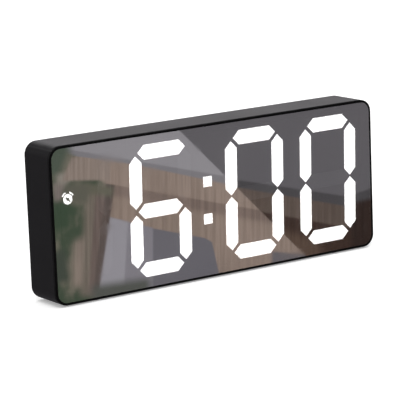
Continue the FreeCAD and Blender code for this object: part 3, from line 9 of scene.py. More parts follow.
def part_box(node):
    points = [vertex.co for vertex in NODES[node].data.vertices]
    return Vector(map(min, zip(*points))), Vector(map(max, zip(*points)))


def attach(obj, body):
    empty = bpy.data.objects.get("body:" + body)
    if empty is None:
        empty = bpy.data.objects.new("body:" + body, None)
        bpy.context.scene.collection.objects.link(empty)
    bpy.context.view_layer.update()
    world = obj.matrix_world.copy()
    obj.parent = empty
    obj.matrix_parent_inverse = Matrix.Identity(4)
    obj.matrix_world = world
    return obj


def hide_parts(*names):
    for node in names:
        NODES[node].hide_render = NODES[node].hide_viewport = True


bl_info = {
    "name": "LED desk clock looks",
    "version": (1, 0, 0),
    "blender": (4, 5, 0),
    "location": "3D View > Sidebar > Desk clock",
    "description": "Finishes, small pieces and studio of a mirrored LED desk clock",
    "category": "Object",
}

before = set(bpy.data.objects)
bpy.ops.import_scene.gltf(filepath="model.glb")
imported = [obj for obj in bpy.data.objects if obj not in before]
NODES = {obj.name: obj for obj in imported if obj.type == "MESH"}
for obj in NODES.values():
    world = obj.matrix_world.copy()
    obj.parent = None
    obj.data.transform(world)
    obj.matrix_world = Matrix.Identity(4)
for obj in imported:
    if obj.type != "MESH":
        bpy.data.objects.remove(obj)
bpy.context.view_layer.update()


# Sizes and colours that a user would change

def colour_setting(name, description, default):
    """A colour of a finish."""
    return FloatVectorProperty(name=name, description=description, default=default,
                               subtype="COLOR", size=3, min=0, max=1)


def length_setting(name, description, default, **limits):
    """A length in metres."""
    return FloatProperty(name=name, description=description, default=default,
                         subtype="DISTANCE", unit="LENGTH", **limits)


def angle_setting(name, description, degrees):
    """An angle; its default is written in degrees."""
    return FloatProperty(name=name, description=description, default=math.radians(degrees),
                         subtype="ANGLE", unit="ROTATION")


class FinishSettings(bpy.types.PropertyGroup):
    """Colours and strengths of the clock's finishes."""

    case_colour: colour_setting("Case", "Black plastic of the case", (0.0052, 0.0049, 0.0055))
    cover_colour: colour_setting(
        "Rear cover", "Black plastic of the rear cover and battery door", (0.012, 0.012, 0.0125))
    mirror_colour: colour_setting(
        "Mirror", "Tint of the half-silvered panel", (0.735, 0.727, 0.735))
    mirror_cover: FloatProperty(
        name="Mirror cover", description="Share of the light that the mirror doesn't let through",
        subtype="FACTOR", min=0, max=1, default=0.6)
    light_colour: colour_setting("Figures", "Light of the figures", (1.0, 0.99, 0.98))
    light_strength: FloatProperty(
        name="Figure strength", description="Strength of the figures' light behind the mirror",
        min=0, max=30, default=2.35)
    print_colour: colour_setting("Print", "Printed marks on the rear cover", (0.55, 0.55, 0.55))
    board_colour: colour_setting(
        "Circuit board", "Solder mask of both boards", (0.012, 0.09, 0.035))


class PieceSettings(bpy.types.PropertyGroup):
    """Sizes of the small pieces that are modelled here."""

    screw_radius: length_setting(
        "Screw head", "Radius of a rear screw's head", 0.0018, min=0.001, max=0.003)
    screw_recess: length_setting(
        "Screw recess", "Depth of the cross in a screw head", 0.0006, min=0.0002, max=0.0009)
    wire_radius: length_setting(
        "Spring wire", "Radius of the battery springs' wire", 0.00025, min=0.0001, max=0.0004)
    print_proud: length_setting(
        "Print thickness", "Printed marks stand this far out of the cover", 0.00004,
        min=0.00001, max=0.0001)
    mark_size: length_setting(
        "Mark size", "Width of a printed mark", 0.0022, min=0.001, max=0.003)


class StageSettings(bpy.types.PropertyGroup):
    """Camera and light of the studio."""

    azimuth: angle_setting("Azimuth", "Camera's turn round the clock", -34.204)
    elevation: angle_setting("Elevation", "Camera's height above the level", 11.451)
    roll: angle_setting("Roll", "Camera's turn about its own axis", -2.271)
    distance: length_setting(
        "Distance", "From the middle of the case to the camera", 0.966594, min=0.1)
    aside: length_setting("Aside", "Camera moved to its own right", -0.002765)
    above: length_setting("Above", "Camera moved up its own height", -0.001812)
    lens: FloatProperty(
        name="Lens", description="Focal length of the camera", subtype="DISTANCE_CAMERA",
        unit="CAMERA", min=10, max=1000, default=203.94)
    floor_colour: colour_setting("Floor", "Plain pale floor", (0.93, 0.93, 0.93))
    fill: FloatProperty(
        name="Fill", description="Even light from all round", min=0, max=2, default=0.72)
    key: FloatProperty(
        name="Key lamp", description="Power of the large lamp above", unit="POWER",
        min=0, max=100, default=9.0)


# Shader trees

def sum_step(operation, swapped=False):
    """A method that adds a Math node of that operation."""
    def step(self, other=0.0):
        return self.wiring.maths(operation, *((other, self) if swapped else (self, other)))
    return step


class Value:
    """A node's output that sums can be written with."""

    __add__ = sum_step("ADD")
    __sub__ = sum_step("SUBTRACT")
    __rsub__ = sum_step("SUBTRACT", swapped=True)
    __mul__ = sum_step("MULTIPLY")
    __truediv__ = sum_step("DIVIDE")
    __lt__ = sum_step("LESS_THAN")
    __gt__ = sum_step("GREATER_THAN")
    __abs__ = sum_step("ABSOLUTE")

    def __init__(self, wiring, socket):
        self.wiring = wiring
        self.socket = socket

    def ramp(self, low, high, start=0.0, end=1.0):
        """Goes softly from the start, where the value is low, to the end, where it is high."""
        return self.wiring.add("MapRange", {0: self, 1: low, 2: high, 3: start, 4: end},
                               interpolation_type="SMOOTHSTEP")

    def fade(self, width):
        """Goes from 1, where the value is 0, to 0, where it is the width."""
        return self.wiring.maths("SUBTRACT", 1.0, self / width, clamp=True)


class Wiring:
    """A node tree, with short ways to add nodes, and the place that its patterns follow."""

    def __init__(self, tree):
        self.tree = tree
        self.place = None

    def node(self, kind, inputs=None, **settings):
        """Adds a node; every type's name starts alike, so the kind is the rest of it."""
        node = self.tree.nodes.new("ShaderNode" + kind)
        for name, value in settings.items():
            setattr(node, name, value)
        self.feed(node, inputs or {})
        return node

    def feed(self, node, inputs):
        """Links a node's inputs, or sets plain values on the sockets themselves."""
        for key, value in inputs.items():
            socket = node.inputs[key]
            if isinstance(value, Value):
                self.tree.links.new(value.socket, socket)
            elif hasattr(value, "__len__") and len(value) == 3 and len(socket.default_value) == 4:
                socket.default_value = (*value, 1)
            else:
                socket.default_value = value

    def add(self, kind, inputs=None, output=0, **settings):
        """Adds a node and returns one of its outputs."""
        return Value(self, self.node(kind, inputs, **settings).outputs[output])

    def give(self, results):
        """Feeds the outputs of a shared effect."""
        self.feed(self.tree.nodes.new("NodeGroupOutput"), results)

    def named(self, node):
        """A node's outputs by name."""
        return {socket.name: Value(self, socket) for socket in node.outputs}

    def group(self, name, inputs):
        """Places a shared effect on the piece."""
        return self.named(self.node("Group", {"Place": self.place, **inputs},
                                    node_tree=bpy.data.node_groups[name]))

    def maths(self, operation, first, second=0.0, clamp=False):
        return self.add("Math", {0: first, 1: second}, operation=operation, use_clamp=clamp)

    def most(self, first, second):
        return self.maths("MAXIMUM", first, second)

    def least(self, first, second):
        return self.maths("MINIMUM", first, second)

    def length(self, first, second):
        """The length of a line with these two legs."""
        return self.maths("SQRT", first * first + second * second)

    def mix(self, factor, first, second, blend="MIX"):
        return self.add("Mix", {0: factor, 6: first, 7: second}, 2,
                        data_type="RGBA", blend_type=blend)

    def tint(self, factor, colour, by):
        return self.mix(factor, colour, by, "MULTIPLY")

    def noise(self, scale, detail=2.0, rough=0.5, stretch=None):
        place = self.place
        if stretch:
            place = self.add("Mapping", {"Vector": place, "Scale": stretch})
        return self.add("TexNoise", {
            "Vector": place, "Scale": scale, "Detail": detail, "Roughness": rough}, "Fac")

    def cells(self, scale):
        return self.add("TexVoronoi", {"Vector": self.place, "Scale": scale}, "Distance")

    def vectors(self, operation, *values):
        return self.add("VectorMath", dict(enumerate(values)), operation=operation)

    def parts(self, vector):
        return self.named(self.node("SeparateXYZ", {0: vector})).values()


class Finish(Wiring):
    """A new material, whose patterns follow the place on the piece."""

    def __init__(self, name):
        self.material = bpy.data.materials.new(name)
        self.material.use_nodes = True
        super().__init__(self.material.node_tree)
        self.place = self.add("TexCoord", output="Object")

    def made(self, colour, roughness, others=None, height=None, depth=0.0, strength=1.0):
        """Feeds the shader, with a bump where a height is given, and returns the material."""
        shader = self.tree.nodes["Principled BSDF"]
        self.feed(shader, {"Base Color": colour, "Roughness": roughness, **(others or {})})
        if height is not None:
            self.feed(shader, {"Normal": self.add("Bump", {
                "Height": height, "Distance": depth, "Strength": strength})})
        return self.material


def grey(level):
    return (level, level, level)


def new_group(name, inputs, outputs):
    """The wiring of a new node group that follows a place, and its inputs by name."""
    tree = bpy.data.node_groups.new(name, "ShaderNodeTree")
    for way, sockets in (("INPUT", {"Place": "Vector", **inputs}), ("OUTPUT", outputs)):
        for label, kind in sockets.items():
            tree.interface.new_socket(label, in_out=way, socket_type="NodeSocket" + kind)
    wiring = Wiring(tree)
    given = wiring.named(tree.nodes.new("NodeGroupInput"))
    wiring.place = given["Place"]
    return wiring, given


# What a shared texture gives
TEXTURE = {"Colour": "Color", "Roughness": "Float", "Height": "Float"}


def make_moulded_group():
    """Moulded plastic: fine spark texture, faint flow marks and uneven sheen."""
    wiring, given = new_group(
        "moulded_plastic", {"Colour": "Color", "Grain": "Float", "Roughness": "Float"}, TEXTURE)
    fine = wiring.noise(given["Grain"], 3.0, 0.6)
    flow = wiring.noise(45.0, stretch=(1.0, 1.0, 3.0))
    speck = fine.ramp(0.45, 0.8)
    pale = wiring.mix(0.12, given["Colour"], grey(0.2))
    rough = given["Roughness"] + (flow - 0.5) * 0.12
    wiring.give({
        "Colour": wiring.mix(speck * 0.25, given["Colour"], pale),
        "Roughness": wiring.maths("ADD", rough, speck * 0.05, clamp=True),
        "Height": fine + wiring.cells(given["Grain"]) * 0.5})


def make_dust_group():
    """Sparse dust, denser on what faces up."""
    wiring, given = new_group("dust", {"Amount": "Float"}, {"Mask": "Float"})
    _, _, up = wiring.parts(wiring.add("NewGeometry", output="Normal"))
    spread = wiring.noise(60.0, 3.0).ramp(0.45, 0.75) * up.ramp(0.2, 0.9, 0.25)
    mask = wiring.cells(900.0).ramp(0.16, 0.08) * spread * given["Amount"]
    wiring.give({"Mask": mask})


def make_edge_group():
    """Mask of the long edges of a box-like moulding, for wear and a painted highlight there."""
    wiring, given = new_group(
        "worn_edges_and_highlight", {"Centre": "Vector", "Half": "Vector", "Width": "Float"},
        {"Mask": "Float"})
    away = wiring.vectors("ABSOLUTE", wiring.vectors("SUBTRACT", wiring.place, given["Centre"]))
    x, y, z = wiring.parts(wiring.vectors("SUBTRACT", given["Half"], away))
    edge = wiring.least(wiring.least(wiring.most(x, y), wiring.most(y, z)), wiring.most(x, z))
    width = given["Width"] * wiring.noise(260.0, 4.0, 0.65).ramp(0.35, 0.7, 0.3, 1.6)
    wiring.give({"Mask": edge.fade(width)})


def make_metal_group():
    """Plated metal: rolled lines along one way and blurred stains."""
    wiring, given = new_group("plated_metal", {"Colour": "Color", "Roughness": "Float"}, TEXTURE)
    stain = wiring.noise(350.0, 3.0)
    dull = wiring.tint(1.0, given["Colour"], (0.72, 0.7, 0.66))
    wiring.give({
        "Colour": wiring.mix(stain.ramp(0.4, 0.75), given["Colour"], dull),
        "Roughness": given["Roughness"] + stain * 0.18,
        "Height": wiring.noise(5200.0, stretch=(0.08, 1.0, 1.0))})


# The width of the wear and painted highlight along an edge
EDGE_WEAR_AND_HIGHLIGHT_WIDTH = 0.0007


def plastic(name, colour, roughness=0.45, grain=2600.0, depth=0.00002, dust=0.0,
            specular=0.5, coat=0.0, edge_node=None, rolled=0.0):
    """Moulded plastic in one colour, with wear and a painted highlight along the edges of the node
    given for them.

    Its faces roll over towards its front, over the width that rolled gives.
    """
    skin = Finish(name)
    texture = skin.group("moulded_plastic", {
        "Colour": colour, "Grain": grain, "Roughness": roughness})
    base, rough, height = texture.values()
    if edge_node:
        low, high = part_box(edge_node)
        mask = skin.group("worn_edges_and_highlight", {
            "Centre": (low + high) / 2, "Half": (high - low) / 2, "Width": EDGE_WEAR_AND_HIGHLIGHT_WIDTH})["Mask"]
        # Lighter and smoother along the edges: partly wear, partly a painted highlight
        base = skin.mix(mask * 0.3, base, (0.075, 0.075, 0.078))
        rough = rough - mask * 0.12
    if dust:
        mask = skin.group("dust", {"Amount": dust})["Mask"]
        base = skin.mix(mask, base, (0.35, 0.34, 0.33))
    if rolled:
        _, y, _ = skin.parts(skin.place)
        near = (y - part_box(edge_node)[0].y).fade(rolled)
        height = height - near * near * (rolled / depth)
    return skin.made(base, rough, {"Specular IOR Level": specular, "Coat Weight": coat},
                     height, depth)


def metal(name, colour, roughness=0.28):
    """Plated or drawn metal in one colour."""
    skin = Finish(name)
    base, rough, lines = skin.group("plated_metal", {
        "Colour": colour, "Roughness": roughness}).values()
    return skin.made(base, rough, {"Metallic": 1.0}, lines, 0.00001, 0.4)


def dress(node, *materials):
    """Puts materials into a CAD node's slots; the first covers it all until faces are chosen."""
    mesh = NODES[node].data
    mesh.materials.clear()
    for material in materials:
        mesh.materials.append(material)
    mesh.polygons.foreach_set("material_index", [0] * len(mesh.polygons))
    return mesh


def paint_faces(mesh, index, wanted):
    """Gives the faces that pass the test the material in the slot of that index."""
    for face in mesh.polygons:
        if wanted(face):
            face.material_index = index
    mesh.update()


# Meshes

def middle(node):
    """The middle of a node's box."""
    low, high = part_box(node)
    return (low + high) / 2


def mesh_of(maker):
    """The mesh that a bmesh has made; the bmesh is used up."""
    mesh = bpy.data.meshes.new("shell")
    maker.to_mesh(mesh)
    maker.free()
    return mesh


# The parts of a mesh are put in order along this slanted way, on which hardly two lie level
ORDER_WAY = Vector((1.0, 0.618, 0.271))


def closed_mesh(maker):
    """The mesh of closed shells, in the same order each run, with every face turned outwards."""
    bmesh.ops.recalc_face_normals(maker, faces=maker.faces)
    maker.verts.sort(key=lambda point: point.co.dot(ORDER_WAY))
    maker.edges.sort(key=lambda edge: sum(point.co.dot(ORDER_WAY) for point in edge.verts))
    maker.faces.sort(key=lambda face: face.calc_center_median().dot(ORDER_WAY))
    return mesh_of(maker)


def linked(name, data):
    """A new object in the scene."""
    data.name = name
    thing = bpy.data.objects.new(name, data)
    bpy.context.scene.collection.objects.link(thing)
    return thing


def new_piece(name, data, material, replaced=None):
    """A piece that is fixed to the case, from a mesh or a curve."""
    piece = linked(name, data)
    data.materials.append(material)
    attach(piece, "root")
    if replaced:
        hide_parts(replaced)


def points_in(grown):
    return [item for item in grown["geom"] if isinstance(item, bmesh.types.BMVert)]


def edges_in(grown):
    return [item for item in grown["geom"] if isinstance(item, bmesh.types.BMEdge)]


def add_circle(maker, radius, segments, turn=Matrix.Identity(4)):
    """A circle of edges round the Z axis, unless it is turned."""
    points = bmesh.ops.create_circle(maker, cap_ends=False, radius=radius, segments=segments,
                                     matrix=turn)["verts"]
    return list(dict.fromkeys(edge for point in points for edge in point.link_edges))


def extrude_ring(maker, edges, radius, depth):
    """Extrudes a ring of edges round the Z axis to a new radius and depth."""
    grown = bmesh.ops.extrude_edge_only(maker, edges=edges)
    for point in points_in(grown):
        flat = Vector((point.co.x, point.co.y, 0)).normalized() * radius
        point.co = (flat.x, flat.y, depth)
    return edges_in(grown)


def thicken(maker, faces, proud):
    """Raises flat faces along Y into a plate."""
    grown = bmesh.ops.extrude_face_region(maker, geom=faces)
    bmesh.ops.translate(maker, verts=points_in(grown), vec=(0, proud, 0))


def add_flat(maker, corners, start, proud):
    """A thin plate from corners in X and Z; it stands out along Y from where it starts."""
    face = maker.faces.new([maker.verts.new((x, start, z)) for x, z in corners])
    thicken(maker, [face], proud)


# The straight sides of a ring
RING_SIDES = 28


def add_ring(maker, centre, outer, inner, start, proud):
    """A thin ring round a centre in X and Z, standing out along Y from where it starts."""
    turn = Matrix.Translation((centre[0], start, centre[1]))
    turn = turn @ Matrix.Rotation(-math.pi / 2, 4, "X")
    loops = [edge for radius in (outer, inner)
             for edge in add_circle(maker, radius, RING_SIDES, turn)]
    thicken(maker, bmesh.ops.bridge_loops(maker, edges=loops)["faces"], proud)


# Operators

class CLOCK_OT_groups(bpy.types.Operator):
    """Makes the shader node groups that the finishes share"""

    bl_idname = "clock.groups"
    bl_label = "Shared effects"

    def execute(self, context):
        make_moulded_group()
        make_dust_group()
        make_edge_group()
        make_metal_group()
        return {"FINISHED"}


# The front edge's roll and the lens recess, from the front; the rear edge and the wall, from
# the outside
ROLL_WIDTH = 0.0016
RECESS_DEPTH = 0.0009
REAR_EDGE = 0.001
WALL = 0.0012


class CLOCK_OT_case(bpy.types.Operator):
    """Finishes the case, its front rim darkened with painted shade, and the rubber feet"""

    bl_idname = "clock.case"
    bl_label = "Case and feet"

    def execute(self, context):
        colour = context.scene.clock_finish.case_colour
        low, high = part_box("housing")
        body = plastic("case_plastic", colour, 0.4, depth=0.00003, dust=0.12,
                       specular=0.19, edge_node="housing", rolled=ROLL_WIDTH)
        # Faces within the recess depth of the front are painted darker, with little specular:
        # painted shade along the front edge
        rim = plastic("front_rim_painted_shade", [part * 0.3 for part in colour], 0.25,
                      depth=0.000004, specular=0.05)
        inside = plastic("case_inside", colour, 0.6)
        mesh = dress("housing", body, rim, inside)
        recess = low.y + RECESS_DEPTH
        paint_faces(mesh, 1, lambda face: face.center.y < recess)
        paint_faces(mesh, 2, lambda face: recess < face.center.y < high.y - REAR_EDGE
                    and abs(face.center.x) < high.x - WALL
                    and low.z + WALL < face.center.z < high.z - WALL)
        dress("feet", plastic("foot_rubber", grey(0.02), 0.75, grain=1500.0,
                              depth=0.00004, dust=0.3))
        return {"FINISHED"}


class CLOCK_OT_mirror(bpy.types.Operator):
    """Finishes the half-silvered panel, its tape and the black reflector behind it"""

    bl_idname = "clock.mirror"
    bl_label = "Mirror"

    def execute(self, context):
        finish = context.scene.clock_finish
        silver = Finish("half_silvered_panel")
        wipe = silver.noise(38.0, 4.0, 0.6, (1.0, 1.0, 2.2))
        film = silver.noise(14.0).ramp(0.3, 0.7)
        tinted = silver.tint(1.0, finish.mirror_colour, (0.93, 0.93, 0.94))
        front = silver.made(
            silver.mix(film, finish.mirror_colour, tinted), wipe.ramp(0.5, 0.8, 0.012, 0.05),
            {"Metallic": 1.0, "Alpha": finish.mirror_cover})
        clear = Finish("panel_back")
        haze = clear.noise(120.0, 3.0)
        back = clear.made(clear.mix(haze, grey(0.02), grey(0.04)), 0.3,
                          {"Alpha": haze.ramp(0.4, 0.8, 0.0, 0.02)})
        sawn = Finish("panel_edge")
        saw = sawn.noise(900.0, 3.0, stretch=(1.0, 6.0, 1.0))
        edge = sawn.made(sawn.mix(saw, grey(0.01), (0.03, 0.032, 0.03)),
                         saw.ramp(0.2, 0.8, 0.2, 0.4))
        mesh = dress("mirror_lens", front, edge, back)
        paint_faces(mesh, 1, lambda face: abs(face.normal.y) < 0.5)
        paint_faces(mesh, 2, lambda face: face.normal.y > 0.5)
        dress("lens_tape", plastic("tape_foam", grey(0.008), 0.85, 5000.0, 0.00003))
        dress("led_reflector", plastic("reflector_black", grey(0.006), 0.7))
        return {"FINISHED"}


# Where a figure's segments lie: column and row from its middle, and whether it is level
SEGMENTS = {
    "a": (0, 2, True), "b": (1, 1, False), "c": (1, -1, False), "d": (0, -2, True),
    "e": (-1, -1, False), "f": (-1, 1, False), "g": (0, 0, True),
}
LIT = {
    "segments_hours": "acdefg",
    "segments_minute_tens": "abcdef",
    "segments_minute_ones": "abcdef",
}
# How much longer a lit window is than its insert, at its lower or left end and at its
# upper or right end
TOWARDS_MIDDLE = {"b": (0.0009, 0), "c": (0, 0.0009), "e": (0, 0.0009), "f": (0.0009, 0)}
LONGER = {
    "segments_hours": {"a": (0, 0.0015)},
    "segments_minute_tens": TOWARDS_MIDDLE,
    "segments_minute_ones": TOWARDS_MIDDLE,
}
# Width of a bar, and the figures' lean to the right for each metre of height
STROKE = 0.0065
LEAN = 0.023
# How far a bar's point stays from the corner of the figure, on its window and on its insert
TIP_GAP = 0.00092
INSERT_GAP = 0.00085
# How far the edges of a frame, a level window and an upright one lie inside the bar, and the
# thickness of one film
FRAME_INSET = -0.0001
LEVEL_INSET = 0.00014
UPRIGHT_INSET = 0.00022
FILM = 0.00005
# The symbol's dial: its middle above the symbol's foot, then the start and end of the soft edge
# of its hub and hands, and each hand's way in degrees and reach
DIAL_RISE = 0.00215
HUB = (0.00074, 0.0006)
HAND_HALF = (0.00034, 0.00022)
HANDS = ((-48.0, 0.0016), (140.0, 0.0012))
HAND_END = 0.0001


def glow_material(name, finish, printed=None):
    """A milky insert lit from behind, dark where a print covers it."""
    insert = Finish(name)
    haze = insert.noise(500.0, 3.0)
    milky = insert.mix(haze, grey(0.9), (0.82, 0.83, 0.84))
    dimmer = insert.tint(1.0, finish.light_colour, grey(0.94))
    light = insert.mix(haze.ramp(0.3, 0.7), finish.light_colour, dimmer)
    if printed:
        mask = printed(insert)
        milky = insert.mix(mask, milky, grey(0.02))
        light = insert.mix(mask, light, grey(0.0))
    others = {"Emission Color": light, "Emission Strength": finish.light_strength}
    return insert.made(milky, 0.45, others, haze, 0.00001)


def dial_print(insert):
    """Mask of the symbol's printed hub and hands."""
    centre = middle("alarm_symbol")
    centre.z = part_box("alarm_symbol")[0].z + DIAL_RISE
    x, _, z = insert.parts(insert.add("Mapping", {"Vector": insert.place, "Location": -centre}))
    mask = insert.length(x, z).ramp(*HUB)
    for way, reach in HANDS:
        cos, sin = math.cos(math.radians(way)), math.sin(math.radians(way))
        along = x * cos + z * sin
        across = abs(z * cos - x * sin)
        line = across.ramp(*HAND_HALF) * along.ramp(reach, reach - HAND_END)
        mask = insert.most(mask, line * along.ramp(-HAND_END, 0.0))
    return mask


def bar_corners(letter, centre, column, step, inwards, before, after):
    """Corners in X and Z of a segment's pointed bar, drawn in all round by one width."""
    across, up, level = SEGMENTS[letter]
    point = (column if level else step) - TIP_GAP - inwards * math.sqrt(2)
    half = STROKE / 2 - inwards
    low, high = -point - before, point + after
    corners = []
    for along, off in ((low, 0), (low + half, half), (high - half, half), (high, 0),
                       (high - half, -half), (low + half, -half)):
        x, z = (along, off) if level else (off, along)
        x, z = x + across * column, z + up * step
        corners.append((centre.x + x + LEAN * z, centre.z + z))
    return corners


def segment_of(point, centre, column, step):
    """The letter of the segment whose line lies nearest to a point."""
    distances = {}
    for letter, (across, up, level) in SEGMENTS.items():
        right = point.x - centre.x - LEAN * (point.z - centre.z) - across * column
        rise = point.z - centre.z - up * step
        along, off = (right, rise) if level else (rise, right)
        reach = (column if level else step) - INSERT_GAP
        distances[letter] = math.hypot(max(abs(along) - reach, 0.0), off)
    return min(distances, key=distances.get)


class CLOCK_OT_figures(bpy.types.Operator):
    """Lights the segments that show 6:00, the colon and the alarm symbol"""

    bl_idname = "clock.figures"
    bl_label = "Figures"

    def execute(self, context):
        finish = context.scene.clock_finish
        lit = glow_material("lit_insert", finish)
        # The unlit inserts are painted dark grey, where the lit ones are milky: painted shade
        # behind the mirror
        dark = plastic("unlit_insert", (0.045, 0.045, 0.048), 0.5, grain=900.0)
        low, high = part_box("segments_hours")
        step = (high.z - low.z - STROKE) / 4
        shoulder = step - TIP_GAP - STROKE / 2
        column = (high.x - low.x - STROKE) / 2 - LEAN * (step + shoulder)
        windows, frames = bmesh.new(), bmesh.new()
        for node, letters in LIT.items():
            centre = middle(node)
            paint_faces(dress(node, dark, lit), 1, lambda face: segment_of(
                face.center, centre, column, step) in letters)
            for letter in letters:
                inset = LEVEL_INSET if SEGMENTS[letter][2] else UPRIGHT_INSET
                ends = LONGER[node].get(letter, (0, 0))
                for maker, inwards, front in ((frames, FRAME_INSET, FILM),
                                              (windows, inset, FILM * 2)):
                    corners = bar_corners(letter, centre, column, step, inwards, *ends)
                    add_flat(maker, corners, low.y, -front)
        new_piece("window_frames", closed_mesh(frames), dark)
        new_piece("lit_windows", closed_mesh(windows), lit)
        dress("segments_leading", dark)
        dress("colon_dots", lit)
        dress("alarm_symbol", glow_material("lit_symbol", finish, dial_print))
        return {"FINISHED"}


class CLOCK_OT_rear(bpy.types.Operator):
    """Finishes the rear cover, the battery door, buttons, switch and socket"""

    bl_idname = "clock.rear"
    bl_label = "Rear"

    def execute(self, context):
        colour = context.scene.clock_finish.cover_colour
        for node, name, shade, roughness in (
                ("rear_cover", "cover_plastic", colour, 0.5),
                ("battery_door", "door_plastic", [part * 1.2 for part in colour], 0.44)):
            dress(node, plastic(name, shade, roughness, grain=2000.0, depth=0.00007, dust=0.1,
                                edge_node=node))
        cap = plastic("button_plastic", (0.028, 0.028, 0.03), 0.34, grain=3500.0,
                      depth=0.00001, coat=0.1)
        plunger = plastic("plunger_nylon", (0.3, 0.29, 0.27), 0.5)
        for name in ("set", "up", "down"):
            dress("button_" + name, cap)
            dress("plunger_" + name, plunger)
        dress("slide_knob", plastic("knob_plastic", (0.03, 0.03, 0.032), 0.4))
        dress("slide_switch", metal("switch_steel", (0.62, 0.61, 0.6)))
        dress("usb_socket", metal("socket_steel", (0.66, 0.66, 0.65), 0.22))
        dress("usb_insert", plastic("socket_insert", grey(0.02), 0.55))
        dress("tact_switches", plastic("switch_plastic", grey(0.02), 0.5))
        return {"FINISHED"}


# A rear screw's head height, shank length and thread turns, and how far its cross is turned
SCREW_HEAD = 0.001
SCREW_LENGTH = 0.008
THREAD_TURNS = 12
CROSS_TURN = 17
# A screw's sides, and the angle in degrees from which its edges look sharp
SCREW_SIDES = 24
SHARP_ANGLE = 35
# Shares of the head's radius: the cross's arm and half width, the flat top round it, and the tip
CROSS_ARM = 0.52
CROSS_HALF = 0.13
FLAT_TOP = 0.72
SCREW_TIP = 0.1
# How much of its width the cross keeps at its bottom
CROSS_TAPER = 0.55
# The head's outline from the flat top outwards, down and in: shares of its radius and height
HEAD_OUTLINE = ((0.92, 0.1), (1.0, 0.3), (1.0, 0.92), (0.94, 1.0), (0.5, 1.0))
# One turn of the thread, down: shares of the head's radius and of a turn; the plain neck above
# the thread is a share of a turn too
THREAD_OUTLINE = ((0.42, 0.0), (0.52, 0.3), (0.42, 0.6))
NECK = 0.3


def cross_outline(arm, half):
    """Corners of a plus sign, counted round."""
    quarter = [(arm, half), (half, half), (half, arm)]
    corners = []
    for turn in range(4):
        spin = Matrix.Rotation(turn * math.pi / 2, 2)
        corners += [spin @ Vector(corner) for corner in quarter]
    return corners


def screw_mesh(radius, recess):
    """A pan-head screw with a cross recess; its head's top is at the origin, facing +Y."""
    screw = bmesh.new()
    outline = [screw.verts.new((x, y, 0))
               for x, y in cross_outline(radius * CROSS_ARM, radius * CROSS_HALF)]
    cross = [screw.edges.new((point, outline[(index + 1) % len(outline)]))
             for index, point in enumerate(outline)]
    ring = add_circle(screw, radius * FLAT_TOP, SCREW_SIDES)
    bmesh.ops.bridge_loops(screw, edges=cross + ring)
    grown = bmesh.ops.extrude_edge_only(screw, edges=cross)
    for point in points_in(grown):
        point.co = (point.co.x * CROSS_TAPER, point.co.y * CROSS_TAPER, -recess)
    bmesh.ops.edgeloop_fill(screw, edges=edges_in(grown))
    for across, down in HEAD_OUTLINE:
        ring = extrude_ring(screw, ring, radius * across, -SCREW_HEAD * down)
    for turn in range(THREAD_TURNS):
        start = -SCREW_HEAD - SCREW_LENGTH * (turn + NECK) / (THREAD_TURNS + 1)
        for across, down in THREAD_OUTLINE:
            depth = start - SCREW_LENGTH * down / THREAD_TURNS
            ring = extrude_ring(screw, ring, radius * across, depth)
    ring = extrude_ring(screw, ring, radius * SCREW_TIP, -SCREW_HEAD - SCREW_LENGTH)
    bmesh.ops.edgeloop_fill(screw, edges=ring)
    turn = Matrix.Rotation(-math.pi / 2, 4, "X")
    turn = turn @ Matrix.Rotation(math.radians(CROSS_TURN), 4, "Z")
    bmesh.ops.transform(screw, matrix=turn, verts=screw.verts)
    return mesh_of(screw)


class CLOCK_OT_screws(bpy.types.Operator):
    """Models the rear screws with cross recesses and threads"""

    bl_idname = "clock.screws"
    bl_label = "Rear screws"

    def execute(self, context):
        sizes = context.scene.clock_pieces
        radius = sizes.screw_radius
        low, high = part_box("case_screws")
        screw = screw_mesh(radius, sizes.screw_recess)
        maker = bmesh.new()
        for x in (low.x + radius, high.x - radius):
            for z in (low.z + radius, high.z - radius):
                first = len(maker.verts)
                maker.from_mesh(screw)
                bmesh.ops.translate(maker, verts=maker.verts[first:], vec=(x, high.y, z))
        bpy.data.meshes.remove(screw)
        mesh = closed_mesh(maker)
        mesh.shade_smooth()
        mesh.set_sharp_from_angle(angle=math.radians(SHARP_ANGLE))
        new_piece("rear_screws", mesh, metal("black_zinc", (0.09, 0.09, 0.1), 0.3),
                  "case_screws")
        dress("board_screws", metal("bright_zinc", (0.5, 0.5, 0.52), 0.3))
        return {"FINISHED"}


# The marks' middle line below the buttons, and how far the switch's two marks lie from its middle
MARK_DROP = 0.0012
SWITCH_MARKS = 0.0022
# Shares of a mark's width: half height, rings' outer and inner radius, and half a bar's width
MARK_HALF = 0.4
SET_RING = (0.45, 0.28)
OFF_RING = (0.4, 0.26)
ON_BAR = 0.09


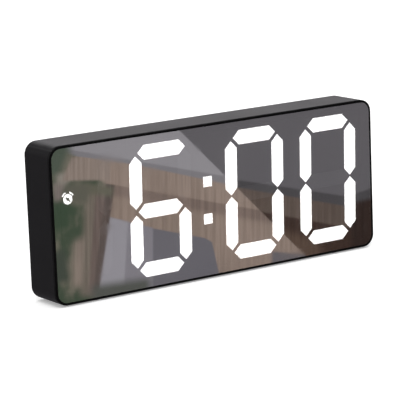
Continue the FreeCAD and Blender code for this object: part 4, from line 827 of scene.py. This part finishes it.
class CLOCK_OT_marks(bpy.types.Operator):
    """Prints plain marks for the buttons and the switch on the rear cover"""

    bl_idname = "clock.marks"
    bl_label = "Printed marks"

    def execute(self, context):
        sizes = context.scene.clock_pieces
        plane = (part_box("rear_cover")[1].y, sizes.print_proud)
        wide = sizes.mark_size
        maker = bmesh.new()
        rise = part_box("button_set")[0].z - MARK_DROP
        for name, way in (("button_up", 1), ("button_down", -1)):
            x = middle(name).x
            tip, foot = rise + way * wide * MARK_HALF, rise - way * wide * MARK_HALF
            add_flat(maker, [(x - wide / 2, foot), (x + wide / 2, foot), (x, tip)], *plane)
        switch = middle("slide_switch").x
        for x, (outer, inner) in ((middle("button_set").x, SET_RING),
                                  (switch + SWITCH_MARKS, OFF_RING)):
            add_ring(maker, (x, rise), wide * outer, wide * inner, *plane)
        left, right = (switch - SWITCH_MARKS + way * wide * ON_BAR for way in (-1, 1))
        foot, top = (rise + way * wide * MARK_HALF for way in (-1, 1))
        add_flat(maker, [(left, foot), (right, foot), (right, top), (left, top)], *plane)
        colour = context.scene.clock_finish.print_colour
        ink = Finish("printed_ink")
        worn = ink.noise(4000.0, 3.0, 0.7).ramp(0.5, 0.75)
        faded = ink.tint(1.0, colour, grey(0.6))
        new_piece("printed_marks", closed_mesh(maker),
                  ink.made(ink.mix(worn, colour, faded), 0.55))
        return {"FINISHED"}


# Which way along X each cell's positive end points
CELLS = {1: -1, 2: 1, 3: -1}
# A battery spring: radius at its base and tip, room along X, turns, and points on a turn
SPRING_BASE = 0.0034
SPRING_TIP = 0.0017
SPRING_ROOM = 0.005
SPRING_TURNS = 3
TURN_POINTS = 20


class CLOCK_OT_springs(bpy.types.Operator):
    """Winds the battery springs from round wire"""

    bl_idname = "clock.springs"
    bl_label = "Battery springs"

    def execute(self, context):
        wire = context.scene.clock_pieces.wire_radius
        low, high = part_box("battery_springs")
        length = SPRING_ROOM - 2 * wire
        line = bpy.data.curves.new("battery_coils", "CURVE")
        line.dimensions = "3D"
        line.bevel_depth = wire
        line.bevel_resolution = 2
        line.use_fill_caps = True
        for index, way in CELLS.items():
            cell = middle(f"battery_{index}")
            start = low.x + wire if way > 0 else high.x - wire
            spline = line.splines.new("POLY")
            spline.points.add(SPRING_TURNS * TURN_POINTS)
            for step, point in enumerate(spline.points):
                share = step / (SPRING_TURNS * TURN_POINTS)
                angle = -way * 2 * math.pi * step / TURN_POINTS
                radius = SPRING_BASE + (SPRING_TIP - SPRING_BASE) * share
                point.co = (start + way * length * share, cell.y + radius * math.cos(angle),
                            cell.z + radius * math.sin(angle), 1)
        new_piece("battery_coils", line, metal("spring_wire", (0.7, 0.69, 0.67), 0.22),
                  "battery_springs")
        return {"FINISHED"}


# A cell's jacket, from its positive end: the soft end of the band, the line beside it, and the
# middles of the plus and minus signs
BAND_END = (0.0127, 0.0124)
BAND_LINE = 0.0132
PLUS_SIGN = 0.0075
MINUS_SIGN = 0.0385
# Half the width of a line and half the length of a sign
LINE_HALF = 0.00035
SIGN_HALF = 0.0015
# The height of the bare steel nub on a cell's positive end
NUB = 0.001


def cell_jacket(index):
    """Plain banded jacket of a cell, with polarity signs on its front and rear."""
    low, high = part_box(f"battery_{index}")
    jacket = Finish(f"cell_jacket_{index}")
    x, _, z = jacket.parts(jacket.place)
    plus_end = high.x if CELLS[index] > 0 else low.x
    along = (plus_end - x) * CELLS[index]
    scuff = jacket.noise(700.0, 4.0, 0.6)
    colour = jacket.mix(scuff.ramp(0.4, 0.8), (0.035, 0.036, 0.039), (0.05, 0.052, 0.056))
    band = along.ramp(*BAND_END)
    colour = jacket.mix(band, colour, (0.03, 0.13, 0.16))
    colour = jacket.mix(abs(along - BAND_LINE) < LINE_HALF, colour, (0.62, 0.6, 0.55))
    rise = abs(z - (low.z + high.z) / 2)
    for centre in (PLUS_SIGN, MINUS_SIGN):
        off = abs(along - centre)
        sign = (off < SIGN_HALF) * (rise < LINE_HALF)
        if centre == PLUS_SIGN:
            sign = jacket.most(sign, (off < LINE_HALF) * (rise < SIGN_HALF))
        colour = jacket.mix(sign, colour, (0.75, 0.74, 0.7))
    return jacket.made(colour, scuff.ramp(0.3, 0.8, 0.24, 0.29),
                       {"Metallic": band * 0.3}, scuff, 0.000002)


class CLOCK_OT_cells(bpy.types.Operator):
    """Finishes the cells with plain banded jackets and polarity signs, and their contacts"""

    bl_idname = "clock.cells"
    bl_label = "Cells and contacts"

    def execute(self, context):
        ends = metal("cell_steel", (0.72, 0.71, 0.69), 0.25)
        for index, way in CELLS.items():
            node = f"battery_{index}"
            plus_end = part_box(node)[way > 0].x
            paint_faces(dress(node, cell_jacket(index), ends), 1,
                        lambda face: abs(face.normal.x) > 0.3
                        or abs(face.center.x - plus_end) < NUB)
        plate = metal("contact_nickel", (0.7, 0.68, 0.62), 0.2)
        for name in ("positive", "negative", "bridge_left", "bridge_right"):
            dress("contact_" + name, plate)
        for name, colour in (("red", (0.42, 0.015, 0.012)), ("black", grey(0.012))):
            dress("lead_" + name, plastic(f"lead_{name}_skin", colour, 0.35, 1800.0))
        return {"FINISHED"}


# The copper tracks lie on lanes this far apart, in runs of this length; this share is left out
TRACK_PITCH = 0.0014
TRACK_RUN = 0.0098
LEFT_OUT = 0.45
# The soft edge of a track in shares of the pitch, that of a via, and the via's place in its run
TRACK_EDGE = (0.16, 0.12)
VIA_EDGE = (0.0004, 0.0003)
VIA_PLACE = 0.06
# The legend's outlines: how far they lie outside a part, and the soft edge of their line
LEGEND_GAP = 0.0009
LEGEND_LINE = (0.00014, 0.00008)
# Half the driver chip's body across its legs, and the height of the header's plastic strip
CHIP_HALF = 0.0038
HEADER_STRIP = 0.0026


def board_tracks(board):
    """Masks of the copper tracks and their vias: short runs on a grid, level or upright."""
    x, _, z = board.parts(board.place)
    upright = board.noise(42.0).ramp(0.499, 0.501)
    track, via = 0.0, 0.0
    for along, across, zone in ((x, z, 1.0 - upright), (z, x, upright)):
        lane, block = across / TRACK_PITCH, along / TRACK_RUN
        cell = board.add("CombineXYZ", {
            0: board.maths("FLOOR", lane), 1: board.maths("FLOOR", block)})
        pick = board.add("TexWhiteNoise", {"Vector": cell}, "Value")
        zone = zone * (pick > LEFT_OUT)
        off = abs(board.maths("FRACT", lane) - 0.5)
        track = board.most(track, off.ramp(*TRACK_EDGE) * zone)
        end = (board.maths("FRACT", block) - VIA_PLACE) * TRACK_RUN
        far = board.length(end, off * TRACK_PITCH)
        via = board.most(via, far.ramp(*VIA_EDGE) * zone)
    return track, via


def board_legend(board):
    """Mask of the printed outlines round the parts on the display board."""
    x, _, z = board.parts(board.place)
    legend = 0.0
    for node in ("driver_chip", "crystal", "capacitor", "buzzer", "board_header"):
        low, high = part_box(node)
        outside = [abs(value - (start + end) / 2) - ((end - start) / 2 + LEGEND_GAP)
                   for value, start, end in ((x, low.x, high.x), (z, low.z, high.z))]
        legend = board.most(legend, abs(board.most(*outside)).ramp(*LEGEND_LINE))
    return legend


def solder_mask(green):
    """Lacquered board: cloth under the lacquer, copper tracks, vias and a printed legend."""
    board = Finish("solder_mask")
    track, via = board_tracks(board)
    legend = board_legend(board)
    colour = board.mix(track, green, board.mix(0.3, green, (0.06, 0.3, 0.12)))
    colour = board.mix(via, colour, (0.7, 0.68, 0.6))
    colour = board.mix(legend, colour, (0.7, 0.71, 0.69))
    cloth = board.noise(2200.0, stretch=(1.0, 0.2, 1.0))
    return board.made(colour, cloth.ramp(0.3, 0.7, 0.3, 0.38) + legend * 0.2,
                      {"Metallic": via * (1.0 - legend)},
                      board.most(track, via) + cloth * 0.3, 0.00003)


class CLOCK_OT_electronics(bpy.types.Operator):
    """Finishes the two boards and what is soldered to them"""

    bl_idname = "clock.electronics"
    bl_label = "Electronics"

    def execute(self, context):
        board = solder_mask(context.scene.clock_finish.board_colour)
        dress("display_board", board)
        dress("control_board", board)
        epoxy = plastic("black_epoxy", (0.014, 0.014, 0.015), 0.5, grain=4000.0)
        legs = metal("tinned_legs", (0.72, 0.71, 0.7), 0.25)
        chip = middle("driver_chip").x
        paint_faces(dress("driver_chip", epoxy, legs), 1,
                    lambda face: abs(face.center.x - chip) > CHIP_HALF)
        dress("crystal", metal("crystal_can", (0.7, 0.7, 0.69), 0.2))
        sleeve = plastic("capacitor_sleeve", (0.02, 0.022, 0.05), 0.35)
        top = metal("capacitor_top", grey(0.75), 0.3)
        paint_faces(dress("capacitor", sleeve, top), 1, lambda face: face.normal.y > 0.7)
        dress("buzzer", plastic("buzzer_black", grey(0.012), 0.5))
        strip = plastic("header_black", grey(0.012), 0.5)
        pins = metal("gold_pins", (0.8, 0.56, 0.2), 0.2)
        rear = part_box("board_header")[1].y
        paint_faces(dress("board_header", strip, pins), 1,
                    lambda face: face.center.y < rear - HEADER_STRIP)
        phosphor = Finish("led_phosphor")
        glow = phosphor.noise(2500.0)
        colour = phosphor.mix(glow, (0.85, 0.78, 0.35), (0.9, 0.86, 0.6))
        dress("segment_leds", phosphor.made(colour, 0.4, None, glow, 0.00002))
        return {"FINISHED"}


# Stage

# The photograph's width in pixels, and the sensor's in millimetres
PICTURE = 400
SENSOR = 36.0
FLOOR_SIZE = 6.0
FLOOR_DROP = 0.00005
# Lamps: name, share of the key lamp's power, and place; their width and what they aim at
LAMPS = (("key_lamp", 1.0, (-0.5, -0.7, 1.3)), ("rear_lamp", 0.7, (0.5, 0.9, 1.2)))
LAMP_WIDTH = 0.9
LAMP_AIM = (0, 0, 0.03)
# What gloss sees round the clock, in its dark part and in the band of glow
ROUND_DARK = (0.221, 0.209, 0.227)
ROUND_GLOW = (1.0, 0.965, 1.0)
# The band's soft lower and upper edge in height; where it grows from left to right, and its
# strength at the left
GLOW_LOW = (-0.02, 0.2)
GLOW_HIGH = (0.5, 0.28)
GLOW_ASIDE = (-0.1, 0.64, 0.3)

# The share of light that the mirror returns; the card's colours are as seen in it
MIRROR_RETURN = 0.44
# How far the card lies behind the clock's middle, mirrored, and its corners in picture pixels
CARD_BEYOND = 0.95
CARD_CORNERS = ((-700, -300), (1100, -300), (1100, 700), (-700, 700))
# Soft areas of the card: colour, softness of the edge, corners in picture pixels
GLARE_AREA = ((-700, -749), (306, 256), (706, 653), (-700, 900))
PALE_BRIGHT = (0.254, 0.246, 0.258)
BRIGHT_AREAS = (
    ((0.186, 0.179, 0.189), 0.8, ((40, 144.5), (420, 209.7), (420, 300), (40, 300))),
    ((0.243, 0.189, 0.156), 0.8, ((40, 151.5), (129, 163.5), (420, 224.6), (420, 420), (40, 420))),
    ((0.172, 0.130, 0.110), 0.8, ((40, 172.0), (420, 238.0), (420, 420), (40, 420))),
    ((0.226, 0.175, 0.143), 4.0, ((40, 183.0), (420, 249.0), (420, 420), (40, 420))),
    ((0.243, 0.188, 0.155), 6.0, ((206, 216), (420, 250), (420, 420), (206, 420))),
    ((0.127, 0.122, 0.136), 0.9, ((60, 211.2), (205, 238), (212, 242), (226, 304), (60, 304))),
    ((0.195, 0.186, 0.205), 1.2, ((60, 205), (153, 228), (153, 304), (60, 304))),
    ((0.262, 0.254, 0.275), 1.2, ((60, 205), (128, 222), (123, 304), (60, 304))),
    ((0.120, 0.112, 0.120), 1.0, ((272, 251.5), (320, 256), (320, 290), (272, 290))),
)
GREEN_AREA = ((20, 140), (70, 152), (108, 186), (104, 232), (97, 310), (20, 310))
GREEN_DARK = (0.048, 0.066, 0.043)
GREEN_PALE = (0.165, 0.148, 0.115)
LEFT_AREAS = (
    ((0.070, 0.088, 0.066), 6.5, ((40, 138), (72, 144), (60, 176), (40, 178))),
    ((0.225, 0.205, 0.175), 4.0, ((57, 174), (72, 172), (68, 186), (55, 190))),
    ((0.040, 0.062, 0.038), 6.0, ((50, 204), (73, 202), (71, 230), (50, 232))),
    ((0.050, 0.060, 0.046), 6.0, ((40, 250), (67, 250), (70, 282), (40, 286))),
    ((0.215, 0.172, 0.144), 7.0, ((75, 240), (92, 236), (90, 284), (73, 288))),
    ((0.232, 0.187, 0.158), 2.0, ((72, 157), (110, 161), (110, 180), (62, 181))),
    ((0.150, 0.128, 0.104), 5.0, ((86, 190), (102, 190), (96, 296), (80, 296))),
    ((0.128, 0.098, 0.086), 3.0,
     ((96, 188), (114.5, 186), (110, 219), (98, 294), (88, 294), (91, 245))),
    ((0.092, 0.072, 0.064), 1.0, ((106, 184), (114.6, 185), (110, 219), (98, 294), (93, 294))),
    ((0.080, 0.084, 0.074), 6.0, ((92, 286), (150, 278), (150, 320), (92, 320))),
    ((0.110, 0.106, 0.078), 4.0, ((84, 183), (114, 187), (112, 197), (80, 193))),
    ((0.100, 0.098, 0.076), 5.0, ((64, 184), (90, 184), (88, 204), (64, 202))),
    ((0.175, 0.150, 0.134), 4.0, ((53, 184), (64, 184), (62, 200), (54, 202))),
)
PALE_DIM = (0.109, 0.104, 0.111)
DIM_AREAS = (
    ((0.062, 0.059, 0.062), 1.2, ((238, 180), (344, 196), (344, 300), (238, 300))),
    ((0.062, 0.059, 0.062), 1.2, ((342, 196), (361, 192), (361, 300), (342, 300))),
    ((0.062, 0.059, 0.062), 1.2, ((359, 192.5), (420, 172), (420, 300), (359, 300))),
    ((0.098, 0.074, 0.061), 1.2, ((238, 187.5), (420, 219), (420, 320), (238, 320))),
    ((0.043, 0.026, 0.020), 1.5, ((238, 207.5), (420, 241), (420, 340), (238, 340))),
    ((0.088, 0.058, 0.043), 7.0, ((270, 226), (318, 240), (340, 300), (260, 300))),
    ((0.028, 0.018, 0.015), 3.0, ((351, 203), (420, 188), (420, 300), (351, 300))),
)


def camera_axes(stage):
    """The camera's right, up and backward directions."""
    level = math.cos(stage.elevation)
    back = Vector((math.sin(stage.azimuth) * level, -math.cos(stage.azimuth) * level,
                   math.sin(stage.elevation)))
    right = (-back).cross(Vector((0, 0, 1))).normalized()
    up = right.cross(-back)
    cos, sin = math.cos(stage.roll), math.sin(stage.roll)
    return cos * right + sin * up, -sin * right + cos * up, back


def camera_place(stage):
    """Where the camera stands."""
    right, up, back = camera_axes(stage)
    return (middle("housing") + back * stage.distance + right * stage.aside
            + up * stage.above)


def make_floor(stage):
    """A pale floor that shows white to the camera."""
    maker = bmesh.new()
    bmesh.ops.create_grid(maker, x_segments=1, y_segments=1, size=FLOOR_SIZE)
    bmesh.ops.translate(maker, verts=maker.verts, vec=(0, 0, -FLOOR_DROP))
    floor = linked("floor", mesh_of(maker))
    pale = Finish("pale_floor")
    seen = pale.add("LightPath", output="Is Camera Ray")
    floor.data.materials.append(pale.made(stage.floor_colour, 0.9, {
        "Emission Color": grey(1), "Emission Strength": seen * 0.3,
        "Specular IOR Level": 0.0}))
    # The mirror and the gloss on the case show the card and the world instead
    floor.visible_glossy = False


def make_world(stage):
    """White to the camera, an even fill, and for gloss a low band of glow on the right."""
    world = bpy.data.worlds.new("studio")
    bpy.context.scene.world = world
    world.use_nodes = True
    wiring = Wiring(world.node_tree)
    rays = wiring.named(wiring.node("LightPath"))
    aside, _, height = wiring.parts(wiring.add("TexCoord", output="Generated"))
    glow = height.ramp(*GLOW_LOW) * height.ramp(*GLOW_HIGH) * aside.ramp(*GLOW_ASIDE)
    colour = wiring.mix(rays["Is Glossy Ray"], grey(stage.fill),
                        wiring.mix(glow, ROUND_DARK, ROUND_GLOW))
    colour = wiring.mix(rays["Is Camera Ray"], colour, grey(1.0))
    wiring.feed(world.node_tree.nodes["Background"], {"Color": colour})


def make_lamps(stage):
    """Two large soft lamps that aim at the clock."""
    for name, share, place in LAMPS:
        lamp = bpy.data.lights.new(name, "AREA")
        lamp.energy = stage.key * share
        lamp.size = LAMP_WIDTH
        stand = linked(name, lamp)
        stand.location = place
        aim = Vector(LAMP_AIM) - Vector(place)
        stand.rotation_euler = aim.to_track_quat("-Z", "Y").to_euler()


def make_camera(stage):
    """The camera at the photograph's viewing angle."""
    data = bpy.data.cameras.new("camera")
    data.lens = stage.lens
    data.sensor_width = SENSOR
    data.clip_start, data.clip_end = 0.01, 50
    camera = linked("camera", data)
    turn = Matrix(camera_axes(stage)).transposed().to_4x4()
    camera.matrix_world = Matrix.Translation(camera_place(stage)) @ turn
    bpy.context.scene.camera = camera


def make_card(stage):
    """A far card in front of the clock, seen only in what is glossy.

    It fills the mirror as the camera sees it, so that its UV map is in shares of the picture.
    """
    right, up, back = camera_axes(stage)
    focus = stage.lens / SENSOR * PICTURE
    flip = Matrix.Diagonal((1, -1, 1))
    eye = camera_place(stage)
    eye.y = 2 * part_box("mirror_lens")[0].y - eye.y
    maker = bmesh.new()
    layer = maker.loops.layers.uv.new("card")
    points = []
    for x, y in CARD_CORNERS:
        half = PICTURE / 2
        ray = -back + right * ((x - half) / focus) - up * ((y - half) / focus)
        points.append(maker.verts.new(eye + (flip @ ray) * (stage.distance + CARD_BEYOND)))
    for loop, (x, y) in zip(maker.faces.new(points).loops, CARD_CORNERS):
        loop[layer].uv = (x / PICTURE, y / PICTURE)
    card = linked("reflection_card", mesh_of(maker))
    card.data.materials.append(card_material())
    for rays in ("camera", "diffuse", "shadow", "transmission", "volume_scatter"):
        setattr(card, "visible_" + rays, False)


def area_mask(x, y, corners, soft):
    """Mask of a convex area with soft edges, from its corners."""
    middle_x, middle_y = (sum(values) / len(corners) for values in zip(*corners))
    wiring, mask = x.wiring, 1.0
    for index, (from_x, from_y) in enumerate(corners):
        to_x, to_y = corners[(index + 1) % len(corners)]
        across_x, across_y = from_y - to_y, to_x - from_x
        length = math.hypot(across_x, across_y)
        if across_x * (middle_x - from_x) + across_y * (middle_y - from_y) < 0:
            length = -length
        across_x, across_y = across_x / length, across_y / length
        inward = -across_x * from_x - across_y * from_y
        for value, slope in ((x, across_x), (y, across_y)):
            inward = wiring.add("Math", {0: value, 1: slope, 2: inward}, operation="MULTIPLY_ADD")
        mask = wiring.maths("MULTIPLY", mask, inward.ramp(-soft, soft))
    return mask


def lay_areas(x, y, colour, areas):
    """Lays soft areas over a colour, one on another."""
    for shade, soft, corners in areas:
        colour = x.wiring.mix(area_mask(x, y, corners, soft), colour, shade)
    return colour


def card_material():
    """Plain soft areas in grey, brown and green, with streaks in the brown ones."""
    material = bpy.data.materials.new("reflection_card")
    material.use_nodes = True
    material.node_tree.nodes.clear()
    wiring = Wiring(material.node_tree)
    place = wiring.add("UVMap", uv_map="card")
    wiring.place = wiring.add("VectorMath", {0: place, 3: PICTURE}, operation="SCALE")
    x, y, _ = wiring.parts(wiring.place)
    bright = lay_areas(x, y, PALE_BRIGHT, BRIGHT_AREAS)
    clouds = wiring.noise(1.0, 3.0, stretch=(0.05, 0.028, 1.0))
    green = wiring.mix(clouds.ramp(0.42, 0.7), GREEN_DARK, GREEN_PALE)
    bright = wiring.mix(area_mask(x, y, GREEN_AREA, 4.0), bright, green)
    bright = lay_areas(x, y, bright, LEFT_AREAS)
    dim = lay_areas(x, y, PALE_DIM, DIM_AREAS)
    colour = wiring.mix(area_mask(x, y, GLARE_AREA, 0.7), dim, bright)
    lines = wiring.noise(1.0, stretch=(0.4, 0.012, 1.0))
    grain = wiring.mix(lines.ramp(0.3, 0.7), grey(0.66), grey(1.34))
    hue, saturation, _ = wiring.named(wiring.node(
        "SeparateColor", {0: colour}, mode="HSV")).values()
    brown = hue.ramp(0.16, 0.1) * saturation.ramp(0.15, 0.3)
    light = wiring.add("Emission", {
        "Color": wiring.tint(brown * 0.45, colour, grain), "Strength": 1 / MIRROR_RETURN})
    wiring.node("OutputMaterial", {"Surface": light})
    return material


class CLOCK_OT_stage(bpy.types.Operator):
    """Sets up the floor, the lamps, the card that the mirror shows and the camera"""

    bl_idname = "clock.stage"
    bl_label = "Stage"

    def execute(self, context):
        stage = context.scene.clock_stage
        make_floor(stage)
        make_world(stage)
        make_lamps(stage)
        make_card(stage)
        make_camera(stage)
        context.scene.view_settings.view_transform = "Standard"
        return {"FINISHED"}


class VIEW3D_PT_clock(bpy.types.Panel):
    """The clock's steps and settings"""

    bl_label = "Desk clock"
    bl_space_type = "VIEW_3D"
    bl_region_type = "UI"
    bl_category = "Desk clock"

    def draw(self, context):
        for step in STEPS:
            self.layout.operator(step.bl_idname)
        for name in SETTINGS:
            settings = getattr(context.scene, name)
            box = self.layout.box()
            for setting in settings.bl_rna.properties.keys():
                if setting not in ("rna_type", "name"):
                    box.prop(settings, setting)


SETTINGS = {"clock_finish": FinishSettings, "clock_pieces": PieceSettings,
            "clock_stage": StageSettings}
STEPS = (CLOCK_OT_groups, CLOCK_OT_case, CLOCK_OT_mirror, CLOCK_OT_figures, CLOCK_OT_rear,
         CLOCK_OT_screws, CLOCK_OT_marks, CLOCK_OT_springs, CLOCK_OT_cells,
         CLOCK_OT_electronics, CLOCK_OT_stage)
CLASSES = (*SETTINGS.values(), *STEPS, VIEW3D_PT_clock)


def register():
    for kind in CLASSES:
        bpy.utils.register_class(kind)
    for name, kind in SETTINGS.items():
        setattr(bpy.types.Scene, name, PointerProperty(type=kind))


def unregister():
    for name in SETTINGS:
        delattr(bpy.types.Scene, name)
    for kind in reversed(CLASSES):
        bpy.utils.unregister_class(kind)


def main():
    register()
    bpy.ops.clock.groups()
    bpy.ops.clock.case()
    bpy.ops.clock.mirror()
    bpy.ops.clock.figures()
    bpy.ops.clock.rear()
    bpy.ops.clock.screws()
    bpy.ops.clock.marks()
    bpy.ops.clock.springs()
    bpy.ops.clock.cells()
    bpy.ops.clock.electronics()
    bpy.ops.clock.stage()


if __name__ == "__main__":
    main()
